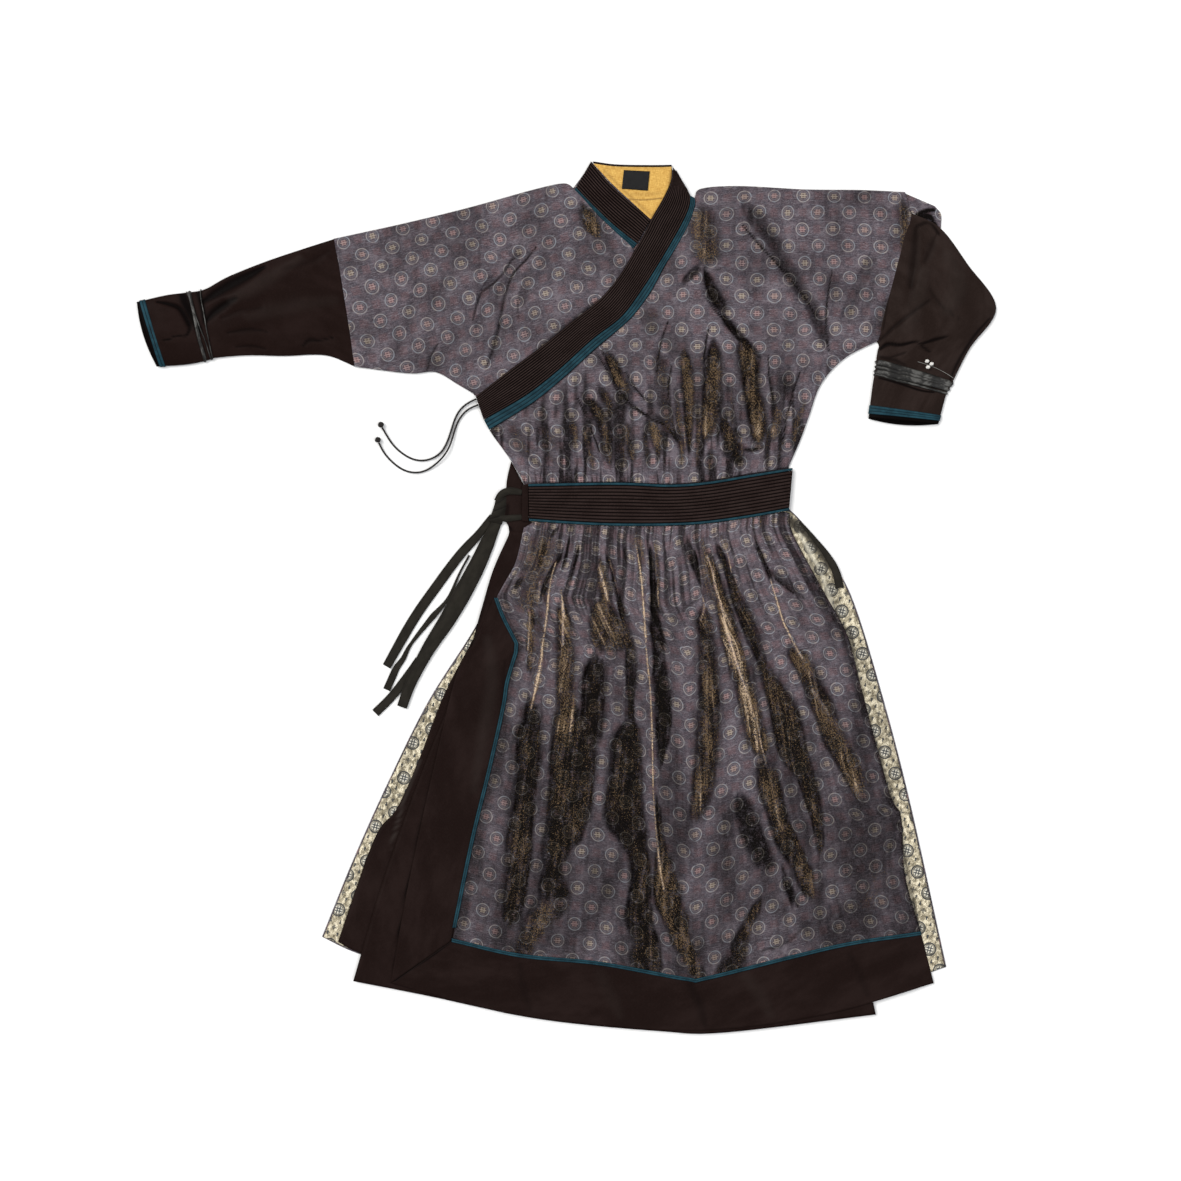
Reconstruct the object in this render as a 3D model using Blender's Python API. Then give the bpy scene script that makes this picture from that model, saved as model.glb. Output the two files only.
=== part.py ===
"""Mongolian deel, a wrap-over robe of brocade laid flat and face up, in millimetres.

X runs across the robe to the viewer's right, Y from hem to collar and Z up off the table.
Each maker's piece is one closed wall.  Neighbours stand a seam's width apart, and the layers
of the skirt are stacked from the back skirt (lining up) to the folded over-front.
"""
import math

import bpy
import numpy as np

MM = 0.001
WALL = 1.2            # one lined thickness of cloth
THIN = 0.9            # ribbons and unlined trim
SEAM = 0.3            # space between neighbouring pieces
STEP = WALL + SEAM    # rise from one layer of cloth to the next
TUBE_EDGE = 1.4       # height of a sleeve's folded edge over its floor
STRAP_FLOOR = 1.5     # how far the wrist straps lift the sleeve off the table
LINING_TOP = 2.7      # height of whatever lies on the back skirt's lining
HEM_IN = 2.5          # brocade showing outside the lining's edge
SEAM_GAP = 1.2        # half the space between border and panel, under the piping
NOTCH = (-75, -70)    # where the front edge's piping turns back on itself
PIPING = 6.0          # width of the teal piping
SIDE_SLOPE = 45.0     # width of the slope along the right edge of the over-front
WAIST_PIPING = 4.0    # width of the waistband's piping
BAND_BACK = 4.3       # thickness of the waistband's back half
BAND_FRONT = 2.8      # thickness of its quilted front half
LINING_THICK = 0.8    # unpadded neck lining
CORD_WIDE = 2.8
STRAP_OUT = 1.3       # how far a wrist strap stands over the sleeve

COLORS = {
    "brocade": (0.115, 0.094, 0.105), "dark": (0.022, 0.014, 0.013), "band": (0.020, 0.012, 0.011),
    "teal": (0.014, 0.055, 0.080), "cream": (0.46, 0.40, 0.28), "mustard": (0.68, 0.40, 0.09),
    "label": (0.010, 0.009, 0.009), "ribbon": (0.030, 0.026, 0.024), "leather": (0.055, 0.050, 0.046),
    "cord": (0.012, 0.011, 0.010), "bead": (0.80, 0.78, 0.74),
}


def table(columns, *rows):
    """Rows of numbers under named columns."""
    names = columns.split()
    return [dict(zip(names, row)) for row in rows]


def line(*points):
    """Smooth Catmull-Rom line through hand-placed points, as an array of xy or xyz."""
    pts = np.array(points, float)
    padded = np.vstack([2 * pts[0] - pts[1], pts, 2 * pts[-1] - pts[-2]])
    out = []
    for i in range(len(pts) - 1):
        p0, p1, p2, p3 = padded[i:i + 4]
        for t in np.linspace(0, 1, 8, endpoint=False):
            out.append(0.5 * (2 * p1 + (p2 - p0) * t + (2 * p0 - 5 * p1 + 4 * p2 - p3) * t ** 2
                              + (3 * p1 - p0 - 3 * p2 + p3) * t ** 3))
    return np.array(out + [pts[-1]])


def join(*lines):
    """Several lines run one after another with a corner between them."""
    return np.vstack(lines)


def sample(curve, fractions):
    """Points at the given fractions of a curve's length."""
    steps = np.linalg.norm(np.diff(curve, axis=0), axis=1)
    along = np.concatenate([[0], np.cumsum(steps)])
    where = np.asarray(fractions) * along[-1]
    return np.stack([np.interp(where, along, curve[:, k]) for k in range(curve.shape[1])], axis=-1)


def splits(curve, corner, count):
    """Even fractions along a curve, with one of them moved onto a corner."""
    steps = np.linalg.norm(np.diff(curve, axis=0), axis=1)
    along = np.concatenate([[0], np.cumsum(steps)]) / steps.sum()
    turn = along[np.argmin(np.linalg.norm(curve - np.array(corner), axis=1))]
    before = max(1, round(turn * count))
    return np.concatenate([np.linspace(0, turn, before + 1), np.linspace(turn, 1, count - before + 1)[1:]])


def shifted(curve, dx=0.0, dy=0.0):
    """The curve moved sideways."""
    return curve + np.array([dx, dy])


def patch(left, right, top, bottom, columns, rows):
    """Coons patch of xy points inside four edges that share their corners."""
    u = np.linspace(0, 1, columns + 1)[None, :, None]
    v = np.linspace(0, 1, rows + 1) if np.isscalar(rows) else rows
    v = v[:, None, None]
    lf, rt = sample(left, v[:, 0, 0])[:, None], sample(right, v[:, 0, 0])[:, None]
    tp, bt = sample(top, u[0, :, 0])[None], sample(bottom, u[0, :, 0])[None]
    corners = ((1 - u) * (1 - v) * tp[:, :1] + u * (1 - v) * tp[:, -1:]
               + (1 - u) * v * bt[:, :1] + u * v * bt[:, -1:])
    return (1 - u) * lf + u * rt + (1 - v) * tp + v * bt - corners


def strip(first, second, columns, rows):
    """Ruled grid of xy points between two curves of matching length."""
    v = np.linspace(0, 1, rows + 1) if np.isscalar(rows) else rows
    u = np.linspace(0, 1, columns + 1)[None, :, None]
    a, b = sample(first, v)[:, None], sample(second, v)[:, None]
    return (1 - u) * a + u * b


def solid(name, points, faces, color):
    """Mesh object whose faces point outward, in its own material."""
    pts = np.asarray(points, float)
    volume = 0.0
    for face in faces:
        a = pts[face[0]]
        for j in range(1, len(face) - 1):
            volume += np.dot(a, np.cross(pts[face[j]], pts[face[j + 1]]))
    if volume < 0:
        faces = [face[::-1] for face in faces]
    mesh = bpy.data.meshes.new(name)
    mesh.from_pydata([tuple(p) for p in pts * MM], [], [tuple(f) for f in faces])
    mesh.validate()
    body = bpy.data.objects.new(name, mesh)
    bpy.context.scene.collection.objects.link(body)
    paint(body, color)
    return body


def paint(body, color):
    """One plain material for one piece."""
    material = bpy.data.materials.new(body.name)
    material.use_nodes = True
    shader = material.node_tree.nodes["Principled BSDF"]
    shader.inputs["Base Color"].default_value = (*COLORS[color], 1)
    shader.inputs["Roughness"].default_value = 0.7
    body.data.materials.append(material)


def wall(name, grid, low, color, thick=WALL):
    """Closed sheet over a grid of xy points; low is its underside height."""
    rows, cols = grid.shape[:2]
    base = np.broadcast_to(np.asarray(low, float), (rows, cols))
    under = np.dstack([grid, base]).reshape(-1, 3)
    over = np.dstack([grid, base + thick]).reshape(-1, 3)
    count = rows * cols
    faces = []
    for r in range(rows - 1):
        for c in range(cols - 1):
            a, b = r * cols + c, r * cols + c + 1
            d, e = a + cols, b + cols
            faces.append([count + a, count + b, count + e, count + d])
            faces.append([a, d, e, b])
    edge = ([c for c in range(cols)] + [r * cols + cols - 1 for r in range(1, rows)]
            + [(rows - 1) * cols + c for c in range(cols - 2, -1, -1)]
            + [r * cols for r in range(rows - 2, 0, -1)])
    for a, b in zip(edge, edge[1:] + edge[:1]):
        faces.append([a, b, count + b, count + a])
    return solid(name, np.vstack([under, over]), faces, color)


def tape(name, center, widths, low, color, steps, thick=THIN):
    """Flat ribbon of changing width along a line."""
    v = np.linspace(0, 1, steps + 1)
    mid = sample(center, v)
    run = np.gradient(mid, axis=0)
    side = np.stack([-run[:, 1], run[:, 0]], -1) / np.linalg.norm(run, axis=1)[:, None]
    half = np.interp(v, np.linspace(0, 1, len(widths)), widths)[:, None] / 2
    grid = np.stack([mid - side * half, mid + side * half], axis=1)
    return wall(name, grid, low, color, thick)


def dome(grid_rows, grid_cols, power=0.6):
    """Lift of a loosely lying panel: nothing at its edges, one in the middle."""
    u = np.sin(math.pi * np.linspace(0, 1, grid_cols))[None, :]
    v = np.sin(math.pi * np.linspace(0, 1, grid_rows))[:, None]
    return np.clip(u, 0, 1) ** power * np.clip(v, 0, 1) ** power


def bump(distance, half):
    """Rounded ridge across a fold: one on its crest, nothing past its foot."""
    t = np.clip(1 - np.abs(distance) / half, 0, 1)
    return t * t * (3 - 2 * t)


def loop(row, count, grow):
    """Points round a flattened tube at one section, moved out by grow, or in where it is negative."""
    a, b = np.array([row["ax"], row["ay"]]), np.array([row["bx"], row["by"]])
    mid, half = (a + b) / 2, (b - a) / 2
    reach = np.linalg.norm(half)
    scale = (reach + grow) / reach
    angle = np.linspace(0, 2 * math.pi, count, endpoint=False)
    w = np.cos(angle)
    shape = np.clip(1 - np.abs(w) ** 2.6, 0, 1) ** (1 / 2.2)
    edge = row["floor"] + TUBE_EDGE
    rise = (row["high"] - TUBE_EDGE + grow) * shape
    drop = (TUBE_EDGE + grow) * np.clip(shape * 1.6, 0, 1)
    z = np.where(np.sin(angle) >= -1e-9, edge + rise, edge - drop)
    return np.column_stack([mid + np.outer(w * scale, half), z])


def tube(name, sections, color, outside=0.0, inside=-WALL, count=24):
    """Hollow flattened tube through sections, open at both ends."""
    outer = [loop(s, count, outside) for s in sections]
    inner = [loop(s, count, inside) for s in sections]
    n, faces = len(sections), []
    points = np.vstack(outer + inner)
    for k in range(n - 1):
        for j in range(count):
            i = (j + 1) % count
            a, b = k * count + j, k * count + i
            c, d = a + count, b + count
            faces.append([a, b, d, c])
            faces.append([a + n * count, c + n * count, d + n * count, b + n * count])
    for k, flip in ((0, False), (n - 1, True)):
        for j in range(count):
            i = (j + 1) % count
            quad = [k * count + j, (k + n) * count + j, (k + n) * count + i, k * count + i]
            faces.append(quad[::-1] if flip else quad)
    return solid(name, points, faces, color)


def between(sections, place):
    """Section at a fractional row number of a sleeve table."""
    k = min(int(place), len(sections) - 2)
    t = place - k
    return {key: (1 - t) * sections[k][key] + t * sections[k + 1][key] for key in sections[0]}


def middle(section):
    """Point halfway between a section's two folded edges."""
    return np.array([section["ax"] + section["bx"], section["ay"] + section["by"]]) / 2


def round_strap(name, sections, place, width, color):
    """Closed strap round a sleeve at a fractional row, as wide as asked."""
    step = 0.05
    here, ahead = between(sections, place), between(sections, place + step)
    per_row = np.linalg.norm(middle(ahead) - middle(here)) / step
    half = width / 2 / per_row
    ends = [between(sections, place - half), between(sections, place + half)]
    return tube(name, ends, color, outside=STRAP_OUT, inside=SEAM)


def cord(name, route, diameter, color, points):
    """Round cord along a smooth line of xyz points, ends capped."""
    data = bpy.data.curves.new(name, "CURVE")
    data.dimensions = "3D"
    data.bevel_depth = diameter / 2 * MM
    data.bevel_resolution = 2
    data.use_fill_caps = True
    data.resolution_u = 1
    data.render_resolution_u = 0
    path = sample(route, np.linspace(0, 1, points))
    spline = data.splines.new("POLY")
    spline.points.add(points - 1)
    for point, place in zip(spline.points, path):
        point.co = (*(place * MM), 1)
    body = bpy.data.objects.new(name, data)
    bpy.context.scene.collection.objects.link(body)
    paint(body, color)
    return body


def ball(name, center, radii, color, rings=6, sides=10):
    """Rounded knot or bead."""
    points = [(center[0], center[1], center[2] - radii[2])]
    for r in range(1, rings):
        phi = math.pi * r / rings
        for s in range(sides):
            turn = 2 * math.pi * s / sides
            points.append((center[0] + radii[0] * math.sin(phi) * math.cos(turn),
                           center[1] + radii[1] * math.sin(phi) * math.sin(turn),
                           center[2] - radii[2] * math.cos(phi)))
    points.append((center[0], center[1], center[2] + radii[2]))
    last, faces = len(points) - 1, []
    for s in range(sides):
        n = (s + 1) % sides
        faces.append([0, 1 + n, 1 + s])
        faces.append([last, last - sides + s, last - sides + n])
        for r in range(rings - 2):
            a, b = 1 + r * sides + s, 1 + r * sides + n
            faces.append([a, b, b + sides, a + sides])
    return solid(name, points, faces, color)


# ---------------------------------------------------------------- outlines of the robe
WAIST_TOP = line((-63, 169), (71, 171), (148, 168), (205, 172), (272, 183), (333, 193))
WAIST_LOW = line((-56, 113), (4, 109), (71, 106), (148, 106), (205, 109), (272, 118), (334, 129))
SKIRT_TOP = shifted(WAIST_LOW, 0, -2 * SEAM)
SEAM_LEFT = join(line((-106, -2), (-95, -31), (-75, -70)),
                 line((-76, -84), (-89, -128), (-95, -166), (-116, -260), (-142, -368), (-172, -515)))
SEAM_HEM = line((-172, -515), (-70, -538), (50, -550), (178, -573), (210, -572), (343, -539),
                (432, -519), (532, -505))
SKIRT_RIGHT = line((335, 125), (339, 96), (383, 13), (422, -59), (439, -125), (484, -292),
                   (502, -331), (508, -418), (532, -505))
BORDER_LEFT = line((-111, -6), (-136, -65), (-162, -107), (-192, -224), (-236, -425), (-264, -580))
HEM_LOW = line((-264, -580), (-148, -611), (-47, -632), (140, -650), (257, -647), (401, -624), (551, -580))
UNDER_LEFT = line((-84, 98), (-110, 40), (-128, -20), (-154, -107), (-214, -254), (-275, -425), (-320, -577))
UNDER_HEM = line((-320, -577), (-208, -599), (-40, -634), (140, -652), (238, -654), (464, -627))
PLEAT_LEFT = line((-136, -56), (-184, -148), (-220, -241), (-254, -317), (-289, -365), (-343, -518))
BACK_LEFT = line((-56, 115), (-100, 55), (-131, -35), (-206, -155), (-266, -275), (-320, -395), (-367, -511))
BACK_HEM = line((-367, -511), (-313, -536), (-205, -568), (-70, -605), (200, -628), (440, -598), (570, -556))
BACK_RIGHT = line((334, 131), (348, 118), (373, 88), (403, 47), (430, -6), (463, -110), (511, -290),
                  (570, -556))

SHOULDER_LEFT = line((-349, 537), (-248, 559), (-149, 583), (-52, 610), (-5, 620), (11, 613))
SLEEVE_SEAM_LEFT = line((-349, 537), (-318, 345))
UNDERARM_LEFT = line((-318, 345), (-236, 335), (-197, 337), (-164, 319), (-137, 303))
SHOULDER_RIGHT = line((192, 597), (202, 612), (260, 616), (358, 611), (442, 610), (508, 607))
SLEEVE_SEAM_RIGHT = join(line((508, 607), (518, 573)), line((508, 524), (488, 446), (468, 384)))
UNDERARM_RIGHT = line((468, 384), (418, 358), (382, 319), (364, 271), (350, 233), (333, 194))
BODICE_LOW_LEFT = line((-116, 249), (-84, 205), (-63, 170.5))

# lengthwise edges of the collar bands: i inner, s piping seam, p outer
OVER_COLLAR = table("ix iy sx sy px py",
                    (160, 644, 162, 641, 163, 640), (158, 625, 176, 620, 178, 619),
                    (151, 607, 185, 602, 192, 598), (140, 586, 184, 584, 191, 581),
                    (127, 566, 173, 559, 182, 556), (118, 547, 155, 527, 164, 523),
                    (101, 517, 137, 497, 146, 494), (80, 482, 113, 460, 125, 455),
                    (50, 446, 82, 419, 94, 415), (13, 416, 38, 385, 46, 374),
                    (-40, 373, -14, 338, -7, 326), (-85, 340, -62, 301, -53, 289),
                    (-136, 300, -124, 265, -116, 250))
UNDER_COLLAR = table("ix iy sx sy px py",
                     (37, 653, 14, 614, 10, 608), (65, 620, 35, 592, 28, 590),
                     (95, 593, 65, 563, 50, 566), (113, 578, 89, 543, 80, 539),
                     (126, 565, 106, 530, 100, 522))
# sections of the lower sleeves from seam to cuff: folded edges a and b, height, height of the floor side
SLEEVE_LEFT = table("ax ay bx by high floor",
                    (-352, 536, -321, 346, 3.2, 0), (-395, 522, -362, 362, 6.0, 0),
                    (-451, 503, -425, 361, 8.5, 0.4), (-508, 480, -478, 362, 9.0, 1.0),
                    (-543, 461, -527, 358, 7.0, STRAP_FLOOR), (-572, 456, -539, 354, 6.5, STRAP_FLOOR),
                    (-602, 452, -570, 348, 8.5, STRAP_FLOOR), (-645, 442, -615, 345, 9.5, 1.4))
SLEEVE_RIGHT = table("ax ay bx by high floor",
                     (526, 572, 472.5, 382, 3.2, 0), (560, 552, 469, 376, 6.0, 0),
                     (602, 499, 467, 369, 8.5, 0.4), (645, 433, 466, 363, 9.0, 1.0),
                     (605, 372, 465, 358, 8.0, 1.4), (578, 319, 465, 353, 6.0, STRAP_FLOOR),
                     (571, 306, 463, 338, 6.5, STRAP_FLOOR), (566, 290, 459, 315, 8.5, STRAP_FLOOR),
                     (558, 259, 453, 267, 10.0, 1.4))
# crest of each fold of the skirt: its x where it leaves the waist, at mid skirt and at the hem
FOLDS = table("top mid low half high",
              (-75, -88, -122, 26, 8), (8, -32, -52, 22, 9), (40, 50, 40, 30, 7),
              (92, 112, 126, 19, 9), (150, 174, 188, 30, 8), (212, 242, 262, 30, 8),
              (256, 308, 352, 22, 9), (298, 364, 420, 24, 8), (330, 438, 480, 30, 6))
FOLD_TOP, FOLD_MID, FOLD_LOW = 90, -225, -480     # heights (y) of those three places
# folds of the bodice's over-front, each from its foot (x0, y0) to its head (x1, y1)
BODICE_FOLDS = table("x0 y0 x1 y1 half high",
                     (300, 350, 205, 490, 26, 4), (205, 255, 200, 372, 20, 4),
                     (262, 235, 246, 360, 22, 4), (165, 262, 130, 345, 20, 4), (95, 215, 60, 300, 24, 3))


def collar_line(rows, which):
    """Listed points of one lengthwise collar edge: i inner, s piping seam, p outer."""
    return np.array([(row[which + "x"], row[which + "y"]) for row in rows], float)


def ease(t):
    """Smooth step from nothing to one."""
    t = np.clip(t, 0, 1)
    return t * t * (3 - 2 * t)


def skirt_folds(grid):
    """Height of the gathers over the over-front, dying out at its edges."""
    x, y = grid[..., 0], grid[..., 1]
    lift = np.zeros(x.shape)
    for fold in FOLDS:
        crest = np.interp(-y, (-FOLD_TOP, -FOLD_MID, -FOLD_LOW), (fold["top"], fold["mid"], fold["low"]))
        spread = np.interp(-y, (-FOLD_TOP, -FOLD_MID), (0.55, 1.0))
        lift = np.maximum(lift, fold["high"] * bump(x - crest, fold["half"] * spread))
    rows, cols = x.shape
    v = np.linspace(0, 1, rows)[:, None]
    u = np.linspace(0, 1, cols)[None, :]
    fade = np.clip(v / 0.12, 0.2, 1) * ease((1 - v) / 0.14)
    return lift * fade * ease(u / 0.08) * ease((1 - u) / 0.08)


def front_level(grid, level):
    """Underside of the over-front: it steps down to the lining along the right edge."""
    edge = join(SKIRT_RIGHT, np.array([(551, -580), (560, -650)]))
    right = np.interp(-grid[..., 1], -edge[:, 1], edge[:, 0])
    return level - (level - LINING_TOP) * ease((grid[..., 0] - right + SIDE_SLOPE) / SIDE_SLOPE)


def build_skirt():
    """Back skirt, its lining, the pleat, the under-front and the folded over-front."""
    top = shifted(WAIST_LOW, 0, 2.6)
    left, right = join(top[:1], BACK_LEFT[1:]), join(top[-1:], BACK_RIGHT[1:])
    wall("skirt_back", patch(left, right, top, BACK_HEM, 10, 12), 0, "brocade")
    inner = shifted(BACK_LEFT, HEM_IN, 0), shifted(BACK_RIGHT, -HEM_IN, 0)
    ends = BACK_HEM[:1] + (HEM_IN, 0), BACK_HEM[-1:] - (HEM_IN, 0)
    low = join(ends[0], shifted(BACK_HEM, 0, HEM_IN)[4:-4], ends[1])
    top = join(inner[0][:1], shifted(WAIST_LOW, 0, 2.6)[4:-4], inner[1][:1])
    wall("skirt_lining", patch(*inner, top, low, 10, 12), STEP, "cream", thick=THIN)
    level = LINING_TOP
    pleat_right = line((-100, -56), (-60, -300), (-30, -600))
    pleat = patch(PLEAT_LEFT, pleat_right, line((-136, -56), (-100, -56)),
                  line((-343, -518), (-313, -534), (-205, -575), (-30, -600)), 4, 10)
    wall("skirt_pleat", pleat, level, "dark")
    level += STEP
    under_right = line((250, 101), (380, -250), (464, -627))
    under_top = line((-84, 98), (60, 97), (250, 101))
    wall("skirt_under", patch(UNDER_LEFT, under_right, under_top, UNDER_HEM, 8, 12), level, "dark")
    level += STEP
    left = join(line((-64, 103), (-76, 52), (-92, 22), (-104, 1)), shifted(SEAM_LEFT, SEAM_GAP, 0)[1:])
    left[-1] = (-172 + SEAM_GAP, -515 + SEAM_GAP)
    hem = join(left[-1:], shifted(SEAM_HEM, 0, SEAM_GAP)[1:])
    right = join(SKIRT_RIGHT[:-1], hem[-1:])
    top = join(left[:1], shifted(WAIST_LOW, 0, -2 * SEAM)[1:-1], right[:1])
    front = patch(left, right, top, hem, 44, splits(left, NOTCH, 17))
    wall("skirt_front", front, front_level(front, level) + skirt_folds(front), "brocade")
    build_border(level)


def build_border(level):
    """Wide dark border down the front edge and along the hem, with its piping on the seam."""
    inner_left = shifted(SEAM_LEFT, -SEAM_GAP, 0)
    inner_left[-1] = (-172 - SEAM_GAP, -515 - SEAM_GAP)
    wall("border_side", strip(BORDER_LEFT, inner_left, 4, splits(inner_left, NOTCH, 14)), level, "dark")
    hem_top = join(inner_left[-1:] + (2 * SEAM, 0), shifted(SEAM_HEM, 0, -SEAM_GAP)[4:])
    hem_low = join(BORDER_LEFT[-1:] + (2 * SEAM, 0), HEM_LOW[3:])
    hem = strip(hem_top, hem_low, 4, 26)
    wall("border_hem", hem, front_level(hem, level), "dark")
    over, half = level + WALL + 2 * SEAM, PIPING / 2
    side = strip(shifted(SEAM_LEFT, -half, 0)[:-1], shifted(SEAM_LEFT, half, 0)[:-1], 1,
                 splits(SEAM_LEFT, NOTCH, 26))
    wall("piping_side", side, over, "teal")
    bar = strip(shifted(SEAM_HEM, 0, half), shifted(SEAM_HEM, 0, -half), 1, 26)
    wall("piping_hem", bar, front_level(bar, level) + WALL + 2 * SEAM, "teal")


def build_waist():
    """Belt band of the waist: back half, stitched front half, end strip and piping."""
    back_top, back_low = shifted(WAIST_TOP, 0, -3), shifted(WAIST_LOW, 0, 3)
    wall("waistband_back", strip(back_top, back_low, 2, 10), 0, "band", thick=BAND_BACK)
    underlay = patch(line((-83, 203), (-89, 178), (-91, 160)), line((-64, 168), (-64, 165), (-64, 160)),
                     line((-83, 203), (-64, 168)), line((-91, 160), (-64, 160)), 2, 4)
    wall("waist_underlay", underlay, LINING_TOP + SEAM, "dark", thick=WALL + 0.1)
    pipe, level = WAIST_PIPING, BAND_BACK + SEAM
    top, low = shifted(WAIST_TOP, 6, 0), WAIST_LOW
    wall("waistband_piping_top", strip(top, shifted(top, 0, -pipe), 1, 16), level, "teal", thick=2.4)
    wall("waistband_front", strip(shifted(top, 0, -pipe - SEAM), shifted(low, 0, pipe + SEAM), 3, 16),
         level, "band", thick=BAND_FRONT)
    wall("waistband_piping_low", strip(shifted(low, 0, pipe), low, 1, 16), level, "teal", thick=2.4)
    end = patch(line((-66.5, 167), (-67, 113)), line((-57.5, 169), (-57, 112)),
                line((-66.5, 167), (-57.5, 169)), line((-67, 113), (-57, 112)), 1, 3)
    wall("waistband_end", end, level, "dark", thick=2.2)


def build_bodice():
    """Back, the under-front with its half collar, and the over-front across it."""
    back_left = join(shifted(SLEEVE_SEAM_LEFT, 3, 0), shifted(UNDERARM_LEFT, 2, 4)[2:-4],
                     line((-132, 300), (-80, 205), (-63, 167.4)))
    back_right = join(shifted(SLEEVE_SEAM_RIGHT, -3, 0), shifted(UNDERARM_RIGHT, -3, 3)[2:-4],
                      np.array([(333.0, 191.4)]))
    back_top = join(line((-346, 537), (-149, 578), (8, 610)), line((30, 640), (100, 644), (165, 640)),
                    line((190, 595), (260, 611), (505, 607)))
    back_low = shifted(WAIST_TOP, 0, -1.6)
    wall("bodice_back", patch(back_left, back_right, back_top, back_low, 20, 12), 0, "brocade")
    flap = patch(line((506.5, 606), (517, 577.5)), line((553, 586), (562, 574), (562, 553)),
                 line((506.5, 606), (553, 586)), line((517, 577.5), (527, 573.2), (562, 553)), 5, 3)
    wall("shoulder_flap", flap, 0, "brocade")
    inner = collar_line(OVER_COLLAR, "i")
    pipe = collar_line(UNDER_COLLAR, "p")
    right = join(pipe + (-1.0, -1.0), inner[6:] + (3.0, -3.0))
    left = SLEEVE_SEAM_LEFT
    top = join(SHOULDER_LEFT[:-1], right[:1])
    low = join(UNDERARM_LEFT[:-1], right[-1:])
    front = patch(left, right, top, low, 16, 12)
    wall("bodice_under", front, STEP + 3.5 * dome(13, 17, 1.0), "brocade")
    left = join(collar_line(OVER_COLLAR, "p")[2:] + (SEAM, -SEAM), BODICE_LOW_LEFT[2:])
    right = join(SLEEVE_SEAM_RIGHT, UNDERARM_RIGHT[1:])
    top = join(left[:1], SHOULDER_RIGHT[2:])
    low = join(left[-1:], shifted(WAIST_TOP, 0, 1)[3:-3], right[-1:])
    front = patch(left, right, top, low, 24, 20)
    rows, cols = front.shape[:2]
    u = np.linspace(0, 1, cols)[None, :]
    v = np.linspace(0, 1, rows)[:, None]
    level = STEP + 3.1 * v ** 3 * ease((1 - u) / 0.1) * ease(u / 0.15)
    folds = bodice_folds(front) * np.clip((1 - v) / 0.08, 0, 1) * np.clip(u / 0.08, 0, 1)
    folds = folds * np.clip((1 - u) / 0.08, 0, 1)
    wall("bodice_front", front, level + 4.0 * dome(rows, cols, 1.0) + folds, "brocade")


def bodice_folds(grid):
    """Height of the few large folds of the over-front."""
    lift = np.zeros(grid.shape[:2])
    for fold in BODICE_FOLDS:
        a, b = np.array([fold["x0"], fold["y0"]]), np.array([fold["x1"], fold["y1"]])
        t = np.clip(((grid - a) @ (b - a)) / ((b - a) @ (b - a)), 0, 1)
        away = np.linalg.norm(grid - a - t[..., None] * (b - a), axis=-1)
        lift = np.maximum(lift, fold["high"] * bump(away, fold["half"]))
    return lift


def build_collar():
    """Collar bands, their piping, the lined back neck and the bare label."""
    over = {which: collar_rows(OVER_COLLAR, which, 2) for which in "isp"}
    rise = STEP + WALL + SEAM
    wall("collar_over", blend(over["i"], over["s"] + (-SEAM, SEAM), 3), rise, "band", thick=2.2)
    wall("piping_over", blend(over["s"][4:], over["p"][4:], 1), rise, "teal", thick=2.0)
    under = {which: collar_rows(UNDER_COLLAR, which, 4) for which in "isp"}
    wall("collar_under", blend(under["i"], under["s"] + (SEAM, SEAM), 3), STEP, "band")
    wall("piping_under", blend(under["s"], under["p"], 1), STEP, "teal")
    neck_top = line((40, 650), (75, 645.5), (130, 644.5), (158, 645))
    neck = patch(line((40, 650), (68, 620), (97, 593), (126, 566.5)),
                 line((158, 645), (157, 625), (148, 603), (127, 566.5)),
                 neck_top, line((126, 566.5), (127, 566.5)), 6, 6)
    wall("neck_lining", neck, STEP, "mustard", thick=LINING_THICK)
    edge = shifted(neck_top, 0, 1.7)
    wall("neck_edge", tape_grid(edge, 2.6, 10), STEP, "dark", thick=1.4)
    label = patch(line((86, 640), (83, 612)), line((125, 638), (122, 609)),
                  line((86, 640), (125, 638)), line((83, 612), (122, 609)), 2, 2)
    wall("label", label, STEP + LINING_THICK + SEAM, "label", thick=0.7)


def collar_rows(rows, which, parts):
    """Smooth edge of a collar with every interval of its table in the same number of parts."""
    return line(*[(row[which + "x"], row[which + "y"]) for row in rows])[::8 // parts]


def blend(first, second, columns):
    """Ruled grid between two edges already matched point by point."""
    u = np.linspace(0, 1, columns + 1)[None, :, None]
    return (1 - u) * first[:, None] + u * second[:, None]


def tape_grid(center, width, steps):
    """Two-column grid along a line."""
    mid = sample(center, np.linspace(0, 1, steps + 1))
    run = np.gradient(mid, axis=0)
    side = np.stack([-run[:, 1], run[:, 0]], -1) / np.linalg.norm(run, axis=1)[:, None]
    return np.stack([mid - side * width / 2, mid + side * width / 2], axis=1)


def build_sleeves():
    """Dark lower sleeves as open tubes, with cuff piping and wrist straps."""
    tube("sleeve_left", SLEEVE_LEFT, "dark")
    tube("sleeve_right", SLEEVE_RIGHT, "dark")
    round_strap("cuff_piping_left", SLEEVE_LEFT, 6.80, 9, "teal")
    round_strap("cuff_piping_right", SLEEVE_RIGHT, 7.72, 11, "teal")
    round_strap("wrist_lace_left", SLEEVE_LEFT, 5.0, 7, "leather")
    round_strap("wrist_cord_left", SLEEVE_LEFT, 4.25, 3, "leather")
    round_strap("wrist_lace_right_1", SLEEVE_RIGHT, 5.0, 9, "leather")
    round_strap("wrist_lace_right_2", SLEEVE_RIGHT, 6.0, 11, "leather")
    ball("wrist_knot_right", (543, 347, 12.4), (6, 5, 4), "bead")


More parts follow.
